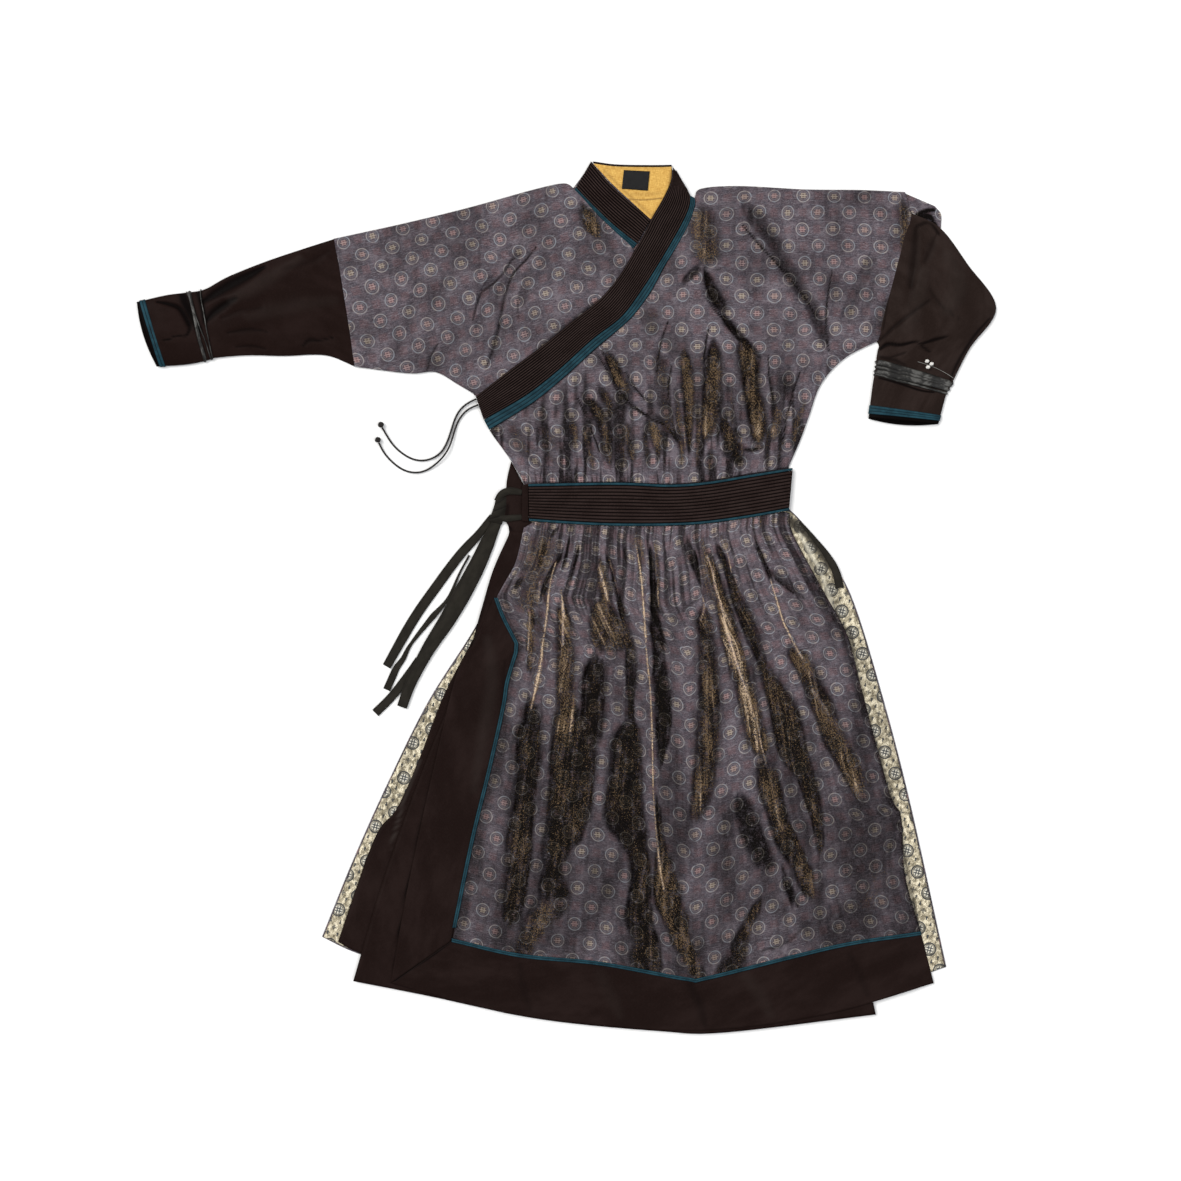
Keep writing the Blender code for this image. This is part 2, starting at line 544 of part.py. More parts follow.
def build_ties():
    """Belt knot with its four ribbon ends, the side tab and the two knotted cords."""
    knot = patch(line((-104, 149), (-114, 120)), line((-89, 153), (-88, 116)),
                 line((-104, 149), (-89, 153)), line((-114, 120), (-88, 116)), 4, 4)
    wall("tie_knot", knot, 0, "ribbon", thick=4.0 + 5.0 * dome(5, 5, 0.8))
    tape("tie_loop_upper", line((-87.5, 150), (-78, 154), (-68, 155)), (13, 9), 4.5, "ribbon", 4)
    tape("tie_loop_lower", line((-87.5, 124), (-78, 121), (-68, 119)), (13, 9), 4.5, "ribbon", 4)
    tape("ribbon_a", line((-114, 116), (-133, 92), (-161, 61), (-196, 14), (-230, -35), (-270, -105)),
         (9, 14, 15, 15, 15, 13), 0, "ribbon", 14)
    tape("ribbon_b", line((-146, 62), (-161, 34), (-178, -3), (-205, -35), (-234, -72), (-245, -93),
                          (-255, -107), (-262, -122), (-270, -140)),
         (3, 3, 4, 5, 9, 7, 5, 8, 11, 11), 0, "ribbon", 20)
    tape("ribbon_c", line((-104, 113), (-119, 80), (-134, 47), (-155, 7), (-179, -35), (-208, -80),
                          (-233, -128), (-247, -166)),
         (12, 22, 26, 27, 24, 20, 17, 15), STEP, "ribbon", 16)
    tape("ribbon_d", line((-221, -95), (-238, -119), (-263, -151), (-287, -175)),
         (13, 13, 13), 0, "ribbon", 6)
    tape("tie_right", line((350, 112), (368, 91), (390, 63), (404, 38), (410, 13)),
         (4, 7, 11, 13), STEP + THIN + SEAM, "ribbon", 8)
    a = line((-135.3, 296.4, 4.0), (-150, 290, 2.2), (-165, 274, 1.7), (-176, 240, 1.7), (-190, 213, 1.7),
             (-223, 203, 1.7), (-257, 223, 1.7), (-276.7, 253.6, 3.4))
    b = line((-132.3, 287.6, 4.0), (-150, 281, 2.2), (-165, 260, 1.7), (-171, 237, 3.4), (-182, 212, 5.0),
             (-209, 189, 1.7), (-226, 185, 1.7), (-247, 190, 1.7), (-273, 213, 1.8), (-281.5, 230.5, 3.3))
    cord("side_cord_a", a, CORD_WIDE, "cord", 40)
    cord("side_cord_b", b, CORD_WIDE, "cord", 44)
    ball("cord_knot_a", (-278.5, 257.8, 4.4), (4.4, 4.4, 4.4), "cord")
    ball("cord_knot_b", (-283, 235, 4.4), (4.4, 4.4, 4.4), "cord")


def main():
    for old in list(bpy.data.objects):
        bpy.data.objects.remove(old, do_unlink=True)
    build_skirt()
    build_waist()
    build_bodice()
    build_collar()
    build_sleeves()
    build_ties()


main()
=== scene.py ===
"""Looks of the wrap-over robe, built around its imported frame.

X runs across the robe to the viewer's right, Y from hem to collar, Z up off the floor.
Outlines are in millimetres.  Folds are charted in squares of 1.5 mm, counted right and down.
"""
import math

import bpy
import numpy as np
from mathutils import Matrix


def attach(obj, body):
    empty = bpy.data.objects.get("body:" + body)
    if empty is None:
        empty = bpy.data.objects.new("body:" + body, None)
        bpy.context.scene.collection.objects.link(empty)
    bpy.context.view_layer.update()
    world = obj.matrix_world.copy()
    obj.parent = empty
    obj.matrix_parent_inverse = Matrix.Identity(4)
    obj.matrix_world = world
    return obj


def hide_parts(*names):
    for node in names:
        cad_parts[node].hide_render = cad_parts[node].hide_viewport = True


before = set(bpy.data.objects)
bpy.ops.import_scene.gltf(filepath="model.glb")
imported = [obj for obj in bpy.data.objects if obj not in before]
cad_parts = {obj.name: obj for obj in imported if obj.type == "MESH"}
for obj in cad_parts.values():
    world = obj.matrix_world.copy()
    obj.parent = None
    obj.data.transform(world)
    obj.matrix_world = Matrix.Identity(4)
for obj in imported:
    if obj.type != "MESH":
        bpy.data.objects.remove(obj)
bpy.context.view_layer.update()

MM = 0.001
WALL = 1.2            # one lined thickness of cloth
THIN = 0.9            # ribbons and unlined trim
SEAM = 0.3            # space between neighbouring pieces
STEP = WALL + SEAM
TUBE_EDGE = 1.4       # height of a sleeve's folded edge over its floor
STRAP_FLOOR = 1.5     # underside of a sleeve where laces pass under it
LINING_TOP = 2.7      # underside of what lies on the skirt's lining
FRONT_LEVEL = LINING_TOP + 2 * STEP   # underside of the skirt's over-front
LINING_IN = 2.5       # how far the lining stops short of the brocade's edge
SEAM_GAP = 1.2        # how far the over-front and its border stop short of their seam
NOTCH = (-75, -70)    # where the front edge's piping turns back on itself
PIPING = 6.0          # width of the piping on the skirt
WAIST_PIPING = 4.0    # and on the belt band
PIPED = WALL - 0.4    # thickness of piping in its grooves
BACK_TUCK = 2.6       # how far the back skirt runs up under the belt band
SKIRT_PUFF = 9.0      # how high the over-front stands at its fullest
SKIRT_RUN = 640.0     # width over which the over-front's folds are counted
SKIRT_CUT = 735.0     # width of its cloth, laid flat
SKIRT_MIRROR, BODICE_MIRROR = 278, 270
NECK_TOP = STEP + 0.8
CELLS = 256           # cells each way before an uneven field comes round again
SIDE_SLOPE = 45.0     # width over which the skirt's right side slopes down to the lining
SQUARE = 1.5          # mm in one square of a fold chart
CHART_X, CHART_Y = 566.5, 596.5   # the square that lies over the origin


# ---------------------------------------------------------------- lines and grids
def table(columns, *rows):
    """Rows of numbers under named columns."""
    names = columns.split()
    return [dict(zip(names, row)) for row in rows]


def line(*points):
    """Smooth Catmull-Rom line through given points."""
    pts = np.array(points, float)
    padded = np.vstack([2 * pts[0] - pts[1], pts, 2 * pts[-1] - pts[-2]])
    out = []
    for i in range(len(pts) - 1):
        p0, p1, p2, p3 = padded[i:i + 4]
        for t in np.linspace(0, 1, 8, endpoint=False):
            out.append(0.5 * (2 * p1 + (p2 - p0) * t + (2 * p0 - 5 * p1 + 4 * p2 - p3) * t ** 2
                              + (3 * p1 - p0 - 3 * p2 + p3) * t ** 3))
    return np.array(out + [pts[-1]])


def join(*lines):
    """Several lines run one after another with a corner between them."""
    return np.vstack(lines)


def lengths_along(curve):
    """Length from the start of a curve to each of its points."""
    steps = np.linalg.norm(np.diff(curve, axis=0), axis=1)
    return np.concatenate([[0], np.cumsum(steps)])


def sample(curve, fractions):
    """Points at the given fractions of a curve's length."""
    along = lengths_along(curve)
    where = np.asarray(fractions) * along[-1]
    return np.stack([np.interp(where, along, curve[:, k]) for k in range(curve.shape[1])], axis=-1)


def splits(curve, corner, count):
    """Even fractions along a curve, with one of them moved onto a corner."""
    steps = np.linalg.norm(np.diff(curve, axis=0), axis=1)
    along = lengths_along(curve) / steps.sum()
    turn = along[np.argmin(np.linalg.norm(curve - np.array(corner), axis=1))]
    before = max(1, round(turn * count))
    after = count - before + 1
    return np.concatenate([np.linspace(0, turn, before + 1), np.linspace(turn, 1, after)[1:]])


def shifted(curve, dx=0.0, dy=0.0):
    """The curve moved sideways."""
    return curve + np.array([dx, dy])


def patch(left, right, top, bottom, columns, rows):
    """Coons patch of xy points inside four edges that share their corners."""
    u = np.linspace(0, 1, columns + 1)[None, :, None]
    v = np.linspace(0, 1, rows + 1) if np.isscalar(rows) else rows
    v = v[:, None, None]
    lf, rt = sample(left, v[:, 0, 0])[:, None], sample(right, v[:, 0, 0])[:, None]
    tp, bt = sample(top, u[0, :, 0])[None], sample(bottom, u[0, :, 0])[None]
    corners = ((1 - u) * (1 - v) * tp[:, :1] + u * (1 - v) * tp[:, -1:]
               + (1 - u) * v * bt[:, :1] + u * v * bt[:, -1:])
    return (1 - u) * lf + u * rt + (1 - v) * tp + v * bt - corners


def blend(first, second, columns):
    """Ruled grid between two edges already matched point by point."""
    u = np.linspace(0, 1, columns + 1)[None, :, None]
    return (1 - u) * first[:, None] + u * second[:, None]


def strip(first, second, columns, rows):
    """Ruled grid of xy points between two curves of matching length."""
    v = np.linspace(0, 1, rows + 1) if np.isscalar(rows) else rows
    return blend(sample(first, v), sample(second, v), columns)


def ribbon_grid(centre, widths, steps, columns):
    """Grid of a flat ribbon of changing width along a line."""
    v = np.linspace(0, 1, steps + 1)
    mid = sample(centre, v)
    run = np.gradient(mid, axis=0)
    side = np.stack([-run[:, 1], run[:, 0]], -1) / np.linalg.norm(run, axis=1)[:, None]
    half = np.interp(v, np.linspace(0, 1, len(widths)), widths)[:, None] / 2
    u = np.linspace(-1, 1, columns + 1)[None, :, None]
    return mid[:, None] + u * (side * half)[:, None]


def ease(t):
    """Smooth step from nothing to one."""
    t = np.clip(t, 0, 1)
    return t * t * (3 - 2 * t)


def spread(grid):
    """Place on a grid as two fractions, (rows, columns) arrays of v and u."""
    rows, cols = grid.shape[:2]
    v, u = np.meshgrid(np.linspace(0, 1, rows), np.linspace(0, 1, cols), indexing="ij")
    return v, u


def inset(fraction, share):
    """Rise from nothing at both ends of a fraction to one a share of the way in."""
    return ease(np.minimum(fraction, 1 - fraction) / share)


def dome(grid, power=0.6):
    """Lift of a loosely lying panel: nothing at its edges, one in the middle."""
    v, u = spread(grid)
    return np.clip(np.sin(math.pi * u), 0, 1) ** power * np.clip(np.sin(math.pi * v), 0, 1) ** power


def run_lengths(grid):
    """Place of each grid point along its row and along its column, in mm."""
    across = np.zeros(grid.shape[:2])
    across[:, 1:] = np.cumsum(np.linalg.norm(np.diff(grid, axis=1), axis=2), axis=1)
    down = np.zeros(grid.shape[:2])
    down[1:] = np.cumsum(np.linalg.norm(np.diff(grid, axis=0), axis=2), axis=0)
    return across, down


def lengthwise(grid):
    """Flat cloth places of a strip, x along its columns."""
    across, down = run_lengths(grid)
    return np.dstack([down, across])


def turned(grid, angle, about):
    """Flat cloth places turned by an angle about a point."""
    x, y = grid[..., 0] - about[0], grid[..., 1] - about[1]
    return np.dstack([x * math.cos(angle) + y * math.sin(angle), y * math.cos(angle) - x * math.sin(angle)])


# ---------------------------------------------------------------- unevenness
def grain(x, y, seed, wide, tall, octaves=3):
    """Smooth uneven field between about -1 and 1, its patches wide by tall in mm."""
    rng = np.random.default_rng(seed)
    total, share = np.zeros(np.shape(x)), 1.0
    for _ in range(octaves):
        cells = rng.uniform(-1, 1, (CELLS, CELLS))
        fx, fy = x / (wide * share), y / (tall * share)
        ix, iy = np.floor(fx).astype(int), np.floor(fy).astype(int)
        tx, ty = ease(fx - ix), ease(fy - iy)
        low, high = (cells[row % CELLS, ix % CELLS] * (1 - tx) + cells[row % CELLS, (ix + 1) % CELLS] * tx
                     for row in (iy, iy + 1))
        total += share * (low * (1 - ty) + high * ty)
        share /= 2
    return total


def rolling(grid, seed, size):
    """Soft uneven swell between about -1 and 1, as wide as size in mm."""
    return grain(grid[..., 0], grid[..., 1], seed, size, size, 2)


def streaks(x, y, seed):
    """Fine uneven field drawn out down a panel."""
    return grain(x, y, seed, 5, 80) * 0.9 + grain(x, y, seed + 1, 2.6, 40) * 0.7


def feathered(grid, seed):
    """Two uneven fields: one frays a panel's hollows, the other streaks them."""
    x, y = grid[..., 0], grid[..., 1]
    fray = grain(x, y, seed, 14, 24) * 0.75 + grain(x, y, seed + 1, 4.0, 7) * 0.35
    return fray, streaks(x, y, seed + 2)


def uneven_lie(grid, seed):
    """Small shifts in mm of the pattern on cloth that isn't quite smooth."""
    return np.dstack([rolling(grid, seed, 70), rolling(grid, seed + 20, 70)]) * 3.5


def pucker(grid, edge_y, seed, pitch=6.5):
    """Tight upright gathers by a waist seam: height and painted shade in them, strongest at the seam."""
    reach = 34
    rng = np.random.default_rng(seed)
    x = grid[..., 0]
    away = np.abs(grid[..., 1] - edge_y)
    centres = np.arange(-110, 380, pitch)
    centres = centres + rng.uniform(-2.5, 2.5, len(centres))
    lift, dark = np.zeros(x.shape), np.zeros(x.shape)
    for centre in centres:
        long = reach * rng.uniform(0.4, 2.2)
        lean = rng.uniform(-0.14, 0.14)
        half = rng.uniform(1.4, 3.2)
        shape = ease(1 - np.abs(x - centre - lean * away) / half) * ease(1 - away / long)
        lift = np.minimum(lift, -2.0 * shape)
        dark = np.maximum(dark, 0.95 * shape * rng.uniform(0.3, 1.0))
    return lift, dark


def ribs(fraction, count, sharp=0.5, groove=1.30):
    """Height, one on a rib's crest and none in its groove, and the painted shade in the groove."""
    wave = np.abs(np.sin(math.pi * count * fraction))
    return wave ** sharp, np.clip(groove - 1.7 * wave, 0, 1)


# ---------------------------------------------------------------- folds, listed one by one
def charted(points):
    """Smooth x, y, half width in mm of a stroke charted in squares."""
    pts = np.array(points, float)
    mm = np.column_stack([(pts[:, 0] - CHART_X), (CHART_Y - pts[:, 1]), pts[:, 2]]) * SQUARE
    return line(*mm)[::2]


def off_path(pts, path):
    """How far points lie from a path of x, y and half width, in half widths."""
    ratio = np.full(len(pts), 9.0)
    for a, b in zip(path[:-1], path[1:]):
        run = b[:2] - a[:2]
        t = np.clip(((pts - a[:2]) @ run) / (run @ run), 0, 1)
        away = np.linalg.norm(pts - a[:2] - t[:, None] * run, axis=1)
        ratio = np.minimum(ratio, away / (a[2] + t * (b[2] - a[2])))
    return ratio


def strokes(grid, folds, fray=0.0):
    """Painted shade (darkness), gold and height that charted strokes give to a grid; the gold is gold weft
    with its painted glints.

    Each stroke is dark, gold, lift in mm, then its points (x, y, half width).
    fray, uneven from -1 to 1, feathers the edge of its colour but not of its relief."""
    shape = grid.shape[:2]
    fray = np.broadcast_to(fray, shape)
    dark, gold_glint, low, high = (np.zeros(shape) for _ in range(4))
    for ink, glint, lift, *points in folds:
        path = charted(points)
        wide = path[:, 2].max() * 2.6
        first, last = path[:, :2].min(0) - wide, path[:, :2].max(0) + wide
        near = np.all((grid > first) & (grid < last), axis=-1)
        ratio = off_path(grid[near], path)
        frayed = ratio + fray[near] * 0.55
        core = 1 - ease((frayed - 0.10) / 1.2)
        halo = 1 - ease((frayed - 0.10) / 2.5)
        dark[near] = np.maximum(dark[near], ink * (0.55 * core + 0.45 * halo))
        gold_glint[near] = np.maximum(gold_glint[near], glint * core)
        relief = lift * (1 - ease((ratio - 0.2) / 1.3))
        if lift < 0:
            low[near] = np.minimum(low[near], relief)
        else:
            high[near] = np.maximum(high[near], relief)
    return dark, gold_glint, low + high


def hollows(grid, charted_hollows, fray, streak):
    """Painted shade (darkness), gold and height that charted hollows give to a grid; the gold is gold weft
    with its painted glints.

    Each hollow is dark, gold, lift in mm, softness of its left and right sides in squares, then
    rows of (y, left x, right x).  fray shifts the sides in mm and streak thins the inside."""
    shape = grid.shape[:2]
    dark, gold_glint, low = (np.zeros(shape) for _ in range(3))
    for ink, glint, lift, soft_left, soft_right, *rows in charted_hollows:
        pts = np.array(rows, float)
        y_row = (CHART_Y - pts[:, 0]) * SQUARE
        left_row, right_row = ((pts[:, k] - CHART_X) * SQUARE for k in (1, 2))
        reach = SQUARE * (22 + 3 * max(soft_left, soft_right))
        x, y = grid[..., 0], grid[..., 1]
        near = (y < y_row[0]) & (y > y_row[-1])
        near &= (x > left_row.min() - reach) & (x < right_row.max() + reach)
        x, y = x[near], y[near]
        left, right = np.interp(-y, -y_row, left_row), np.interp(-y, -y_row, right_row)
        taper = min(30.0, 0.35 * (y_row[0] - y_row[-1]))
        ragged = y + fray[near] * 1.6
        ends = ease((y_row[0] - ragged) / taper) * ease((ragged - y_row[-1]) / taper)
        middle, half = (left + right) / 2, (right - left) / 2 * ends ** 0.5
        left, right = middle - half, middle + half
        crisp = np.clip(half / 9.0, 0.22, 1.0)
        ends = ends ** 0.35

        def inside(soft_l, soft_r, shift, start):
            from_left = ease((x + shift - left) / (soft_l * SQUARE * crisp) + start)
            from_right = ease((right - x - shift) / (soft_r * SQUARE * crisp) + start)
            return from_left * from_right * ends

        core = inside(soft_left * 3.4, soft_right * 3.4, fray[near] * SQUARE, 0.55)
        halo = inside(soft_left * 3 + 22, soft_right * 3 + 22, fray[near] * SQUARE, 0.80)
        shade = ink * (0.40 * core + 0.60 * halo) * (1 - 0.22 * np.clip(streak[near], 0, 1) * core)
        dark[near] = np.maximum(dark[near], shade)
        glow = glint * core * ends * (1 + 0.32 * streak[near])
        gold_glint[near] = np.maximum(gold_glint[near], np.clip(glow, 0, 0.9))
        relief = lift * inside(max(soft_left, 4), max(soft_right, 4), 0.0, 0.6)
        low[near] = np.minimum(low[near], relief)
    return dark, gold_glint, low


# ---------------------------------------------------------------- node materials
class Paint:
    """One node material.  Numbers, colours or sockets go in, and sockets come out."""

    def __init__(self, name):
        self.material = bpy.data.materials.new(name)
        self.material.use_nodes = True
        self.tree = self.material.node_tree
        self.shader = self.tree.nodes["Principled BSDF"]
        self.color = (0.0, 0.0, 0.0)

    def feed(self, socket, value):
        if isinstance(value, bpy.types.NodeSocket):
            self.tree.links.new(value, socket)
        elif isinstance(value, tuple) and len(value) == 3 and socket.type == "RGBA":
            socket.default_value = (*value, 1)
        else:
            socket.default_value = value

    def node(self, kind, inputs=(), **settings):
        made = self.tree.nodes.new("ShaderNode" + kind)
        for key, value in settings.items():
            setattr(made, key, value)
        for key, value in dict(inputs).items():
            self.feed(made.inputs[key], value)
        return made

    def math(self, operation, a, b=0.0):
        return self.node("Math", {0: a, 1: b}, operation=operation).outputs[0]

    def chain(self, operation, values):
        """One value after another joined by the same operation."""
        out = values[0]
        for value in values[1:]:
            out = self.math(operation, out, value)
        return out

    def times(self, *values):
        return self.chain("MULTIPLY", values)

    def plus(self, *values):
        return self.chain("ADD", values)

    def minus(self, *values):
        return self.chain("SUBTRACT", values)

    def most(self, *values):
        return self.chain("MAXIMUM", values)

    def size(self, value):
        """The value without its sign."""
        return self.math("ABSOLUTE", value)

    def fraction(self, value):
        return self.math("FRACT", value)

    def soft(self, value, low, high, start=0.0, end=1.0):
        """Smooth ramp of a value from low to high."""
        inputs = {"Value": value, "From Min": low, "From Max": high, "To Min": start, "To Max": end}
        return self.node("MapRange", inputs, interpolation_type="SMOOTHSTEP").outputs[0]

    def near(self, value, centre, half, fade):
        """One where a value is within half of centre."""
        away = self.size(self.minus(value, centre))
        return self.soft(away, half, half + fade, 1.0, 0.0)

    def mix(self, factor, a, b):
        """Colour a where the factor is nothing and b where it is one."""
        made = self.node("Mix", data_type="RGBA")
        for index, value in ((0, factor), (6, a), (7, b)):
            self.feed(made.inputs[index], value)
        return made.outputs[2]

    def coat(self, factor, tone):
        """Lay a tone over the colour so far, as thickly as the factor says."""
        self.color = self.mix(factor, self.color, tone)

    def attribute(self, name, output="Fac"):
        return self.node("Attribute", attribute_name=name).outputs[output]

    def cloth(self):
        """Place on the flat cloth, x and y in mm."""
        parts = self.node("SeparateXYZ", {0: self.attribute("cloth", "Vector")})
        return parts.outputs[0], parts.outputs[1]

    def lying(self):
        """Place on the lying robe, x and y in mm."""
        parts = self.node("SeparateXYZ", {0: self.node("TexCoord").outputs["Object"]})
        return self.times(parts.outputs[0], 1 / MM), self.times(parts.outputs[1], 1 / MM)

    def gathering(self):
        """How many times wider the cloth is than the place it is gathered into."""
        parts = self.node("SeparateXYZ", {0: self.attribute("cloth", "Vector")})
        return self.most(parts.outputs[2], 1.0)

    def at(self, x, y, z=0.0):
        """Point with the given places."""
        return self.node("CombineXYZ", {0: x, 1: y, 2: z}).outputs[0]

    def noise(self, x, y, scale_x, scale_y, detail=3.0, rough=0.6, z=0.0):
        """Noise between 0 and 1 with its own pitch each way, in waves per mm."""
        place = self.at(self.times(x, scale_x), self.times(y, scale_y), z)
        inputs = {"Vector": place, "Scale": 1.0, "Detail": detail, "Roughness": rough}
        return self.node("TexNoise", inputs).outputs[0]

    def relief(self, height, depth_mm, strength=1.0):
        """Bump of a height between 0 and 1, as deep as depth_mm."""
        made = self.node("Bump", {"Strength": strength, "Distance": depth_mm * MM, "Height": height})
        self.tree.links.new(made.outputs[0], self.shader.inputs["Normal"])

    def finish(self, rough, sheen=0.0, specular=0.5, sheen_tint=(1, 1, 1)):
        """Material with the colour built up so far."""
        settings = {"Base Color": self.color, "Roughness": rough, "Sheen Weight": sheen,
                    "Sheen Roughness": 0.4, "Sheen Tint": sheen_tint, "Specular IOR Level": specular}
        for key, value in settings.items():
            self.feed(self.shader.inputs[key], value)
        return self.material


def lattice(p, x, y, across, down):
    """Half-drop lattice: x and y from the roundel's centre, y from the filler's, the cell's own chance."""
    column = p.math("DIVIDE", x, across / 2)
    index = p.math("FLOOR", column)
    cx = p.times(p.minus(p.minus(column, index), 0.5), across / 2)
    parity = p.times(p.math("FLOORED_MODULO", index, 2.0), 0.5)
    row = p.plus(p.math("DIVIDE", y, down), parity)
    number = p.math("FLOOR", row)
    cy = p.times(p.minus(p.minus(row, number), 0.5), down)
    between = p.fraction(p.plus(row, 0.5))
    fy = p.times(p.minus(between, 0.5), down)
    cell = p.node("TexWhiteNoise", {0: p.at(index, number)}, noise_dimensions="3D").outputs[0]
    return cx, cy, fy, cell


def radius(p, x, y):
    """Distance from the middle."""
    return p.math("SQRT", p.plus(p.times(x, x), p.times(y, y)))


def brocade_ground(p, x, y, cx, fy):
    """Cloudy grey-purple ground with painted shade and highlights on its small rumples, its threads and its
    dashes; gives its threads, tone and rumple.
    """
    thread = p.soft(p.noise(x, y, 0.45, 0.75, 4.0, 0.75), 0.38, 0.62)
    cloud = p.noise(x, y, 0.035, 0.04, z=4.0)
    tone = p.noise(x, y, 0.12, 0.16, 2.0, 0.5, z=9.0)
    rumple_and_shading = p.noise(x, y, 0.040, 0.050, 4.0, 0.62, z=14.0)
    p.color = p.mix(p.soft(cloud, 0.35, 0.65), (0.068, 0.053, 0.065), (0.104, 0.081, 0.096))
    p.coat(p.times(p.soft(tone, 0.48, 0.62), 0.6), (0.060, 0.062, 0.080))
    # painted shade in the hollows of small rumples, then painted highlight on their crests
    p.coat(p.soft(rumple_and_shading, 0.51, 0.39, 0.0, 0.60), (0.030, 0.024, 0.030))
    p.coat(p.soft(rumple_and_shading, 0.52, 0.64, 0.0, 0.55), (0.180, 0.154, 0.175))
    # filler squares of warmer thread between the roundels
    filler = p.times(p.near(cx, 0.0, 4.0, 4.0), p.near(fy, 0.0, 4.0, 4.0))
    p.coat(p.times(filler, p.soft(thread, 0.2, 0.8, 0.2, 0.65)), (0.150, 0.068, 0.070))
    # fine light and dark threads, then short level dashes of the key-fret ground
    p.coat(p.times(thread, 0.42), (0.185, 0.158, 0.176))
    p.coat(p.soft(thread, 0.0, 0.42, 0.50, 0.0), (0.026, 0.020, 0.026))
    dashes = p.noise(x, y, 0.11, 0.55, 2.0, 0.6, z=2.0)
    p.coat(p.soft(dashes, 0.56, 0.66, 0.0, 0.5), (0.225, 0.210, 0.235))
    p.coat(p.soft(dashes, 0.36, 0.45, 0.5, 0.0), (0.040, 0.033, 0.042))
    return thread, tone, rumple_and_shading


def brocade_roundel(p, cx, cy, cell, thread):
    """Clear disc and barred square of a roundel, in mm from its centre; gives its rings and its bars."""
    r = radius(p, cx, cy)
    disc = p.near(r, 0.0, 8.6, 1.2)
    ring = p.near(r, 9.5, 0.35, 0.9)
    inner_ring = p.times(p.near(r, 6.7, 0.1, 0.8), 0.45)
    centre_bar = p.times(p.near(cy, 0.0, 0.45, 0.5), p.near(cx, 0.0, 5.0, 0.9))
    outer_bar = p.times(p.near(p.size(cy), 3.1, 0.4, 0.4), p.near(cx, 0.0, 3.3, 0.7))
    post = p.times(p.near(p.size(cx), 2.3, 0.4, 0.5), p.near(cy, 0.0, 4.0, 0.6))
    centre = p.times(p.near(cx, 0.0, 3.2, 0.9), p.near(cy, 0.0, 3.2, 0.8))
    p.coat(p.times(disc, 0.45), (0.074, 0.056, 0.066))
    warm = p.mix(p.soft(cell, 0.35, 0.65), (0.160, 0.078, 0.078), (0.145, 0.105, 0.074))
    p.coat(p.times(centre, p.soft(cell, 0.0, 0.2, 0.3, 0.75)), warm)
    bars = p.most(centre_bar, p.times(p.most(outer_bar, post), 0.75))
    pale = p.mix(p.soft(cell, 0.3, 0.7), (0.35, 0.250, 0.245), (0.38, 0.325, 0.280))
    p.coat(p.times(bars, p.soft(thread, 0.0, 0.6, 0.6, 0.92)), pale)
    return p.most(ring, inner_ring), bars


def brocade_hollow_shade(p, x, y, dark, gold_glint, pattern):
    """Painted shade in the folds' hollows, near black, with flecks of gold weft that brighten into painted
    glints; its edge is broken up thread by thread.
    """
    across, down = p.lying()
    speck = p.noise(across, down, 0.52, 0.36, 3.0, 0.8, z=6.0)
    comb = p.noise(across, down, 0.16, 0.60, 3.0, 0.7, z=8.0)
    veil = p.noise(across, down, 0.075, 0.050, z=15.0)
    uneven = p.plus(p.times(p.minus(speck, 0.5), 1.6), p.times(p.minus(comb, 0.5), 1.1))
    uneven = p.plus(uneven, p.soft(veil, 0.50, 0.62, 0.0, -0.22))
    depth = p.plus(dark, p.times(uneven, p.soft(dark, 0.50, 0.90, 0.10, 0.90)))
    # painted shade: the dark amount takes the cloth down to near black
    p.coat(p.soft(depth, 0.10, 0.84), p.mix(pattern, (0.0022, 0.0013, 0.0010), (0.058, 0.048, 0.037)))
    # flecks of gold weft show where the specks rise over a limit that falls as the gold rises; high gold
    # paints them as bright glints, a painted highlight
    bare = p.soft(gold_glint, 0.90, 1.0, 0.0, 0.12)
    patchy = p.times(p.minus(p.noise(x, y, 0.035, 0.022, 3.0, 0.65, z=12.0), 0.5), 0.30)
    limit = p.minus(p.soft(gold_glint, 0.20, 0.85, 0.600, 0.472), p.plus(bare, patchy))
    fleck = p.soft(p.minus(speck, limit), 0.0, 0.06)
    tint = p.mix(p.soft(gold_glint, 0.72, 1.0), (0.135, 0.088, 0.048), (0.66, 0.49, 0.33))
    p.coat(p.times(fleck, p.soft(gold_glint, 0.05, 0.35), 0.9), tint)


def brocade(name, across=46.0, down=50.0, ring_share=0.90):
    """Shot brocade: grey-purple ground, ringed roundels, painted shade in the hollows, with gold weft showing
    there in painted glints.
    """
    p = Paint(name)
    x, y = p.cloth()
    dark, gold_glint = p.attribute("dark"), p.attribute("gold_glint")
    cx, cy, fy, cell = lattice(p, x, y, across, down)
    cx = p.math("DIVIDE", cx, p.gathering())
    thread, tone, rumple_and_shading = brocade_ground(p, x, y, cx, fy)
    rings, bars = brocade_roundel(p, cx, cy, cell, thread)
    worn = p.soft(p.noise(x, y, 0.10, 0.10, z=7.0), 0.34, 0.52, 0.45, 1.0)
    ring_tone = p.mix(p.soft(tone, 0.42, 0.58), (0.300, 0.268, 0.262), (0.225, 0.236, 0.266))
    p.coat(p.times(rings, worn, ring_share), ring_tone)
    brocade_hollow_shade(p, x, y, dark, gold_glint, p.times(p.most(rings, p.times(bars, 0.5)), worn, 0.40))
    height = p.plus(p.times(rings, 0.4), p.times(thread, 0.5), p.times(bars, 0.3), p.times(rumple_and_shading, 5.0))
    p.relief(height, 0.35, 0.6)
    rough = p.soft(p.plus(thread, gold_glint), 0.3, 1.3, 0.50, 0.36)
    return p.finish(rough, sheen=0.01, sheen_tint=(0.8, 0.75, 0.9), specular=0.04)


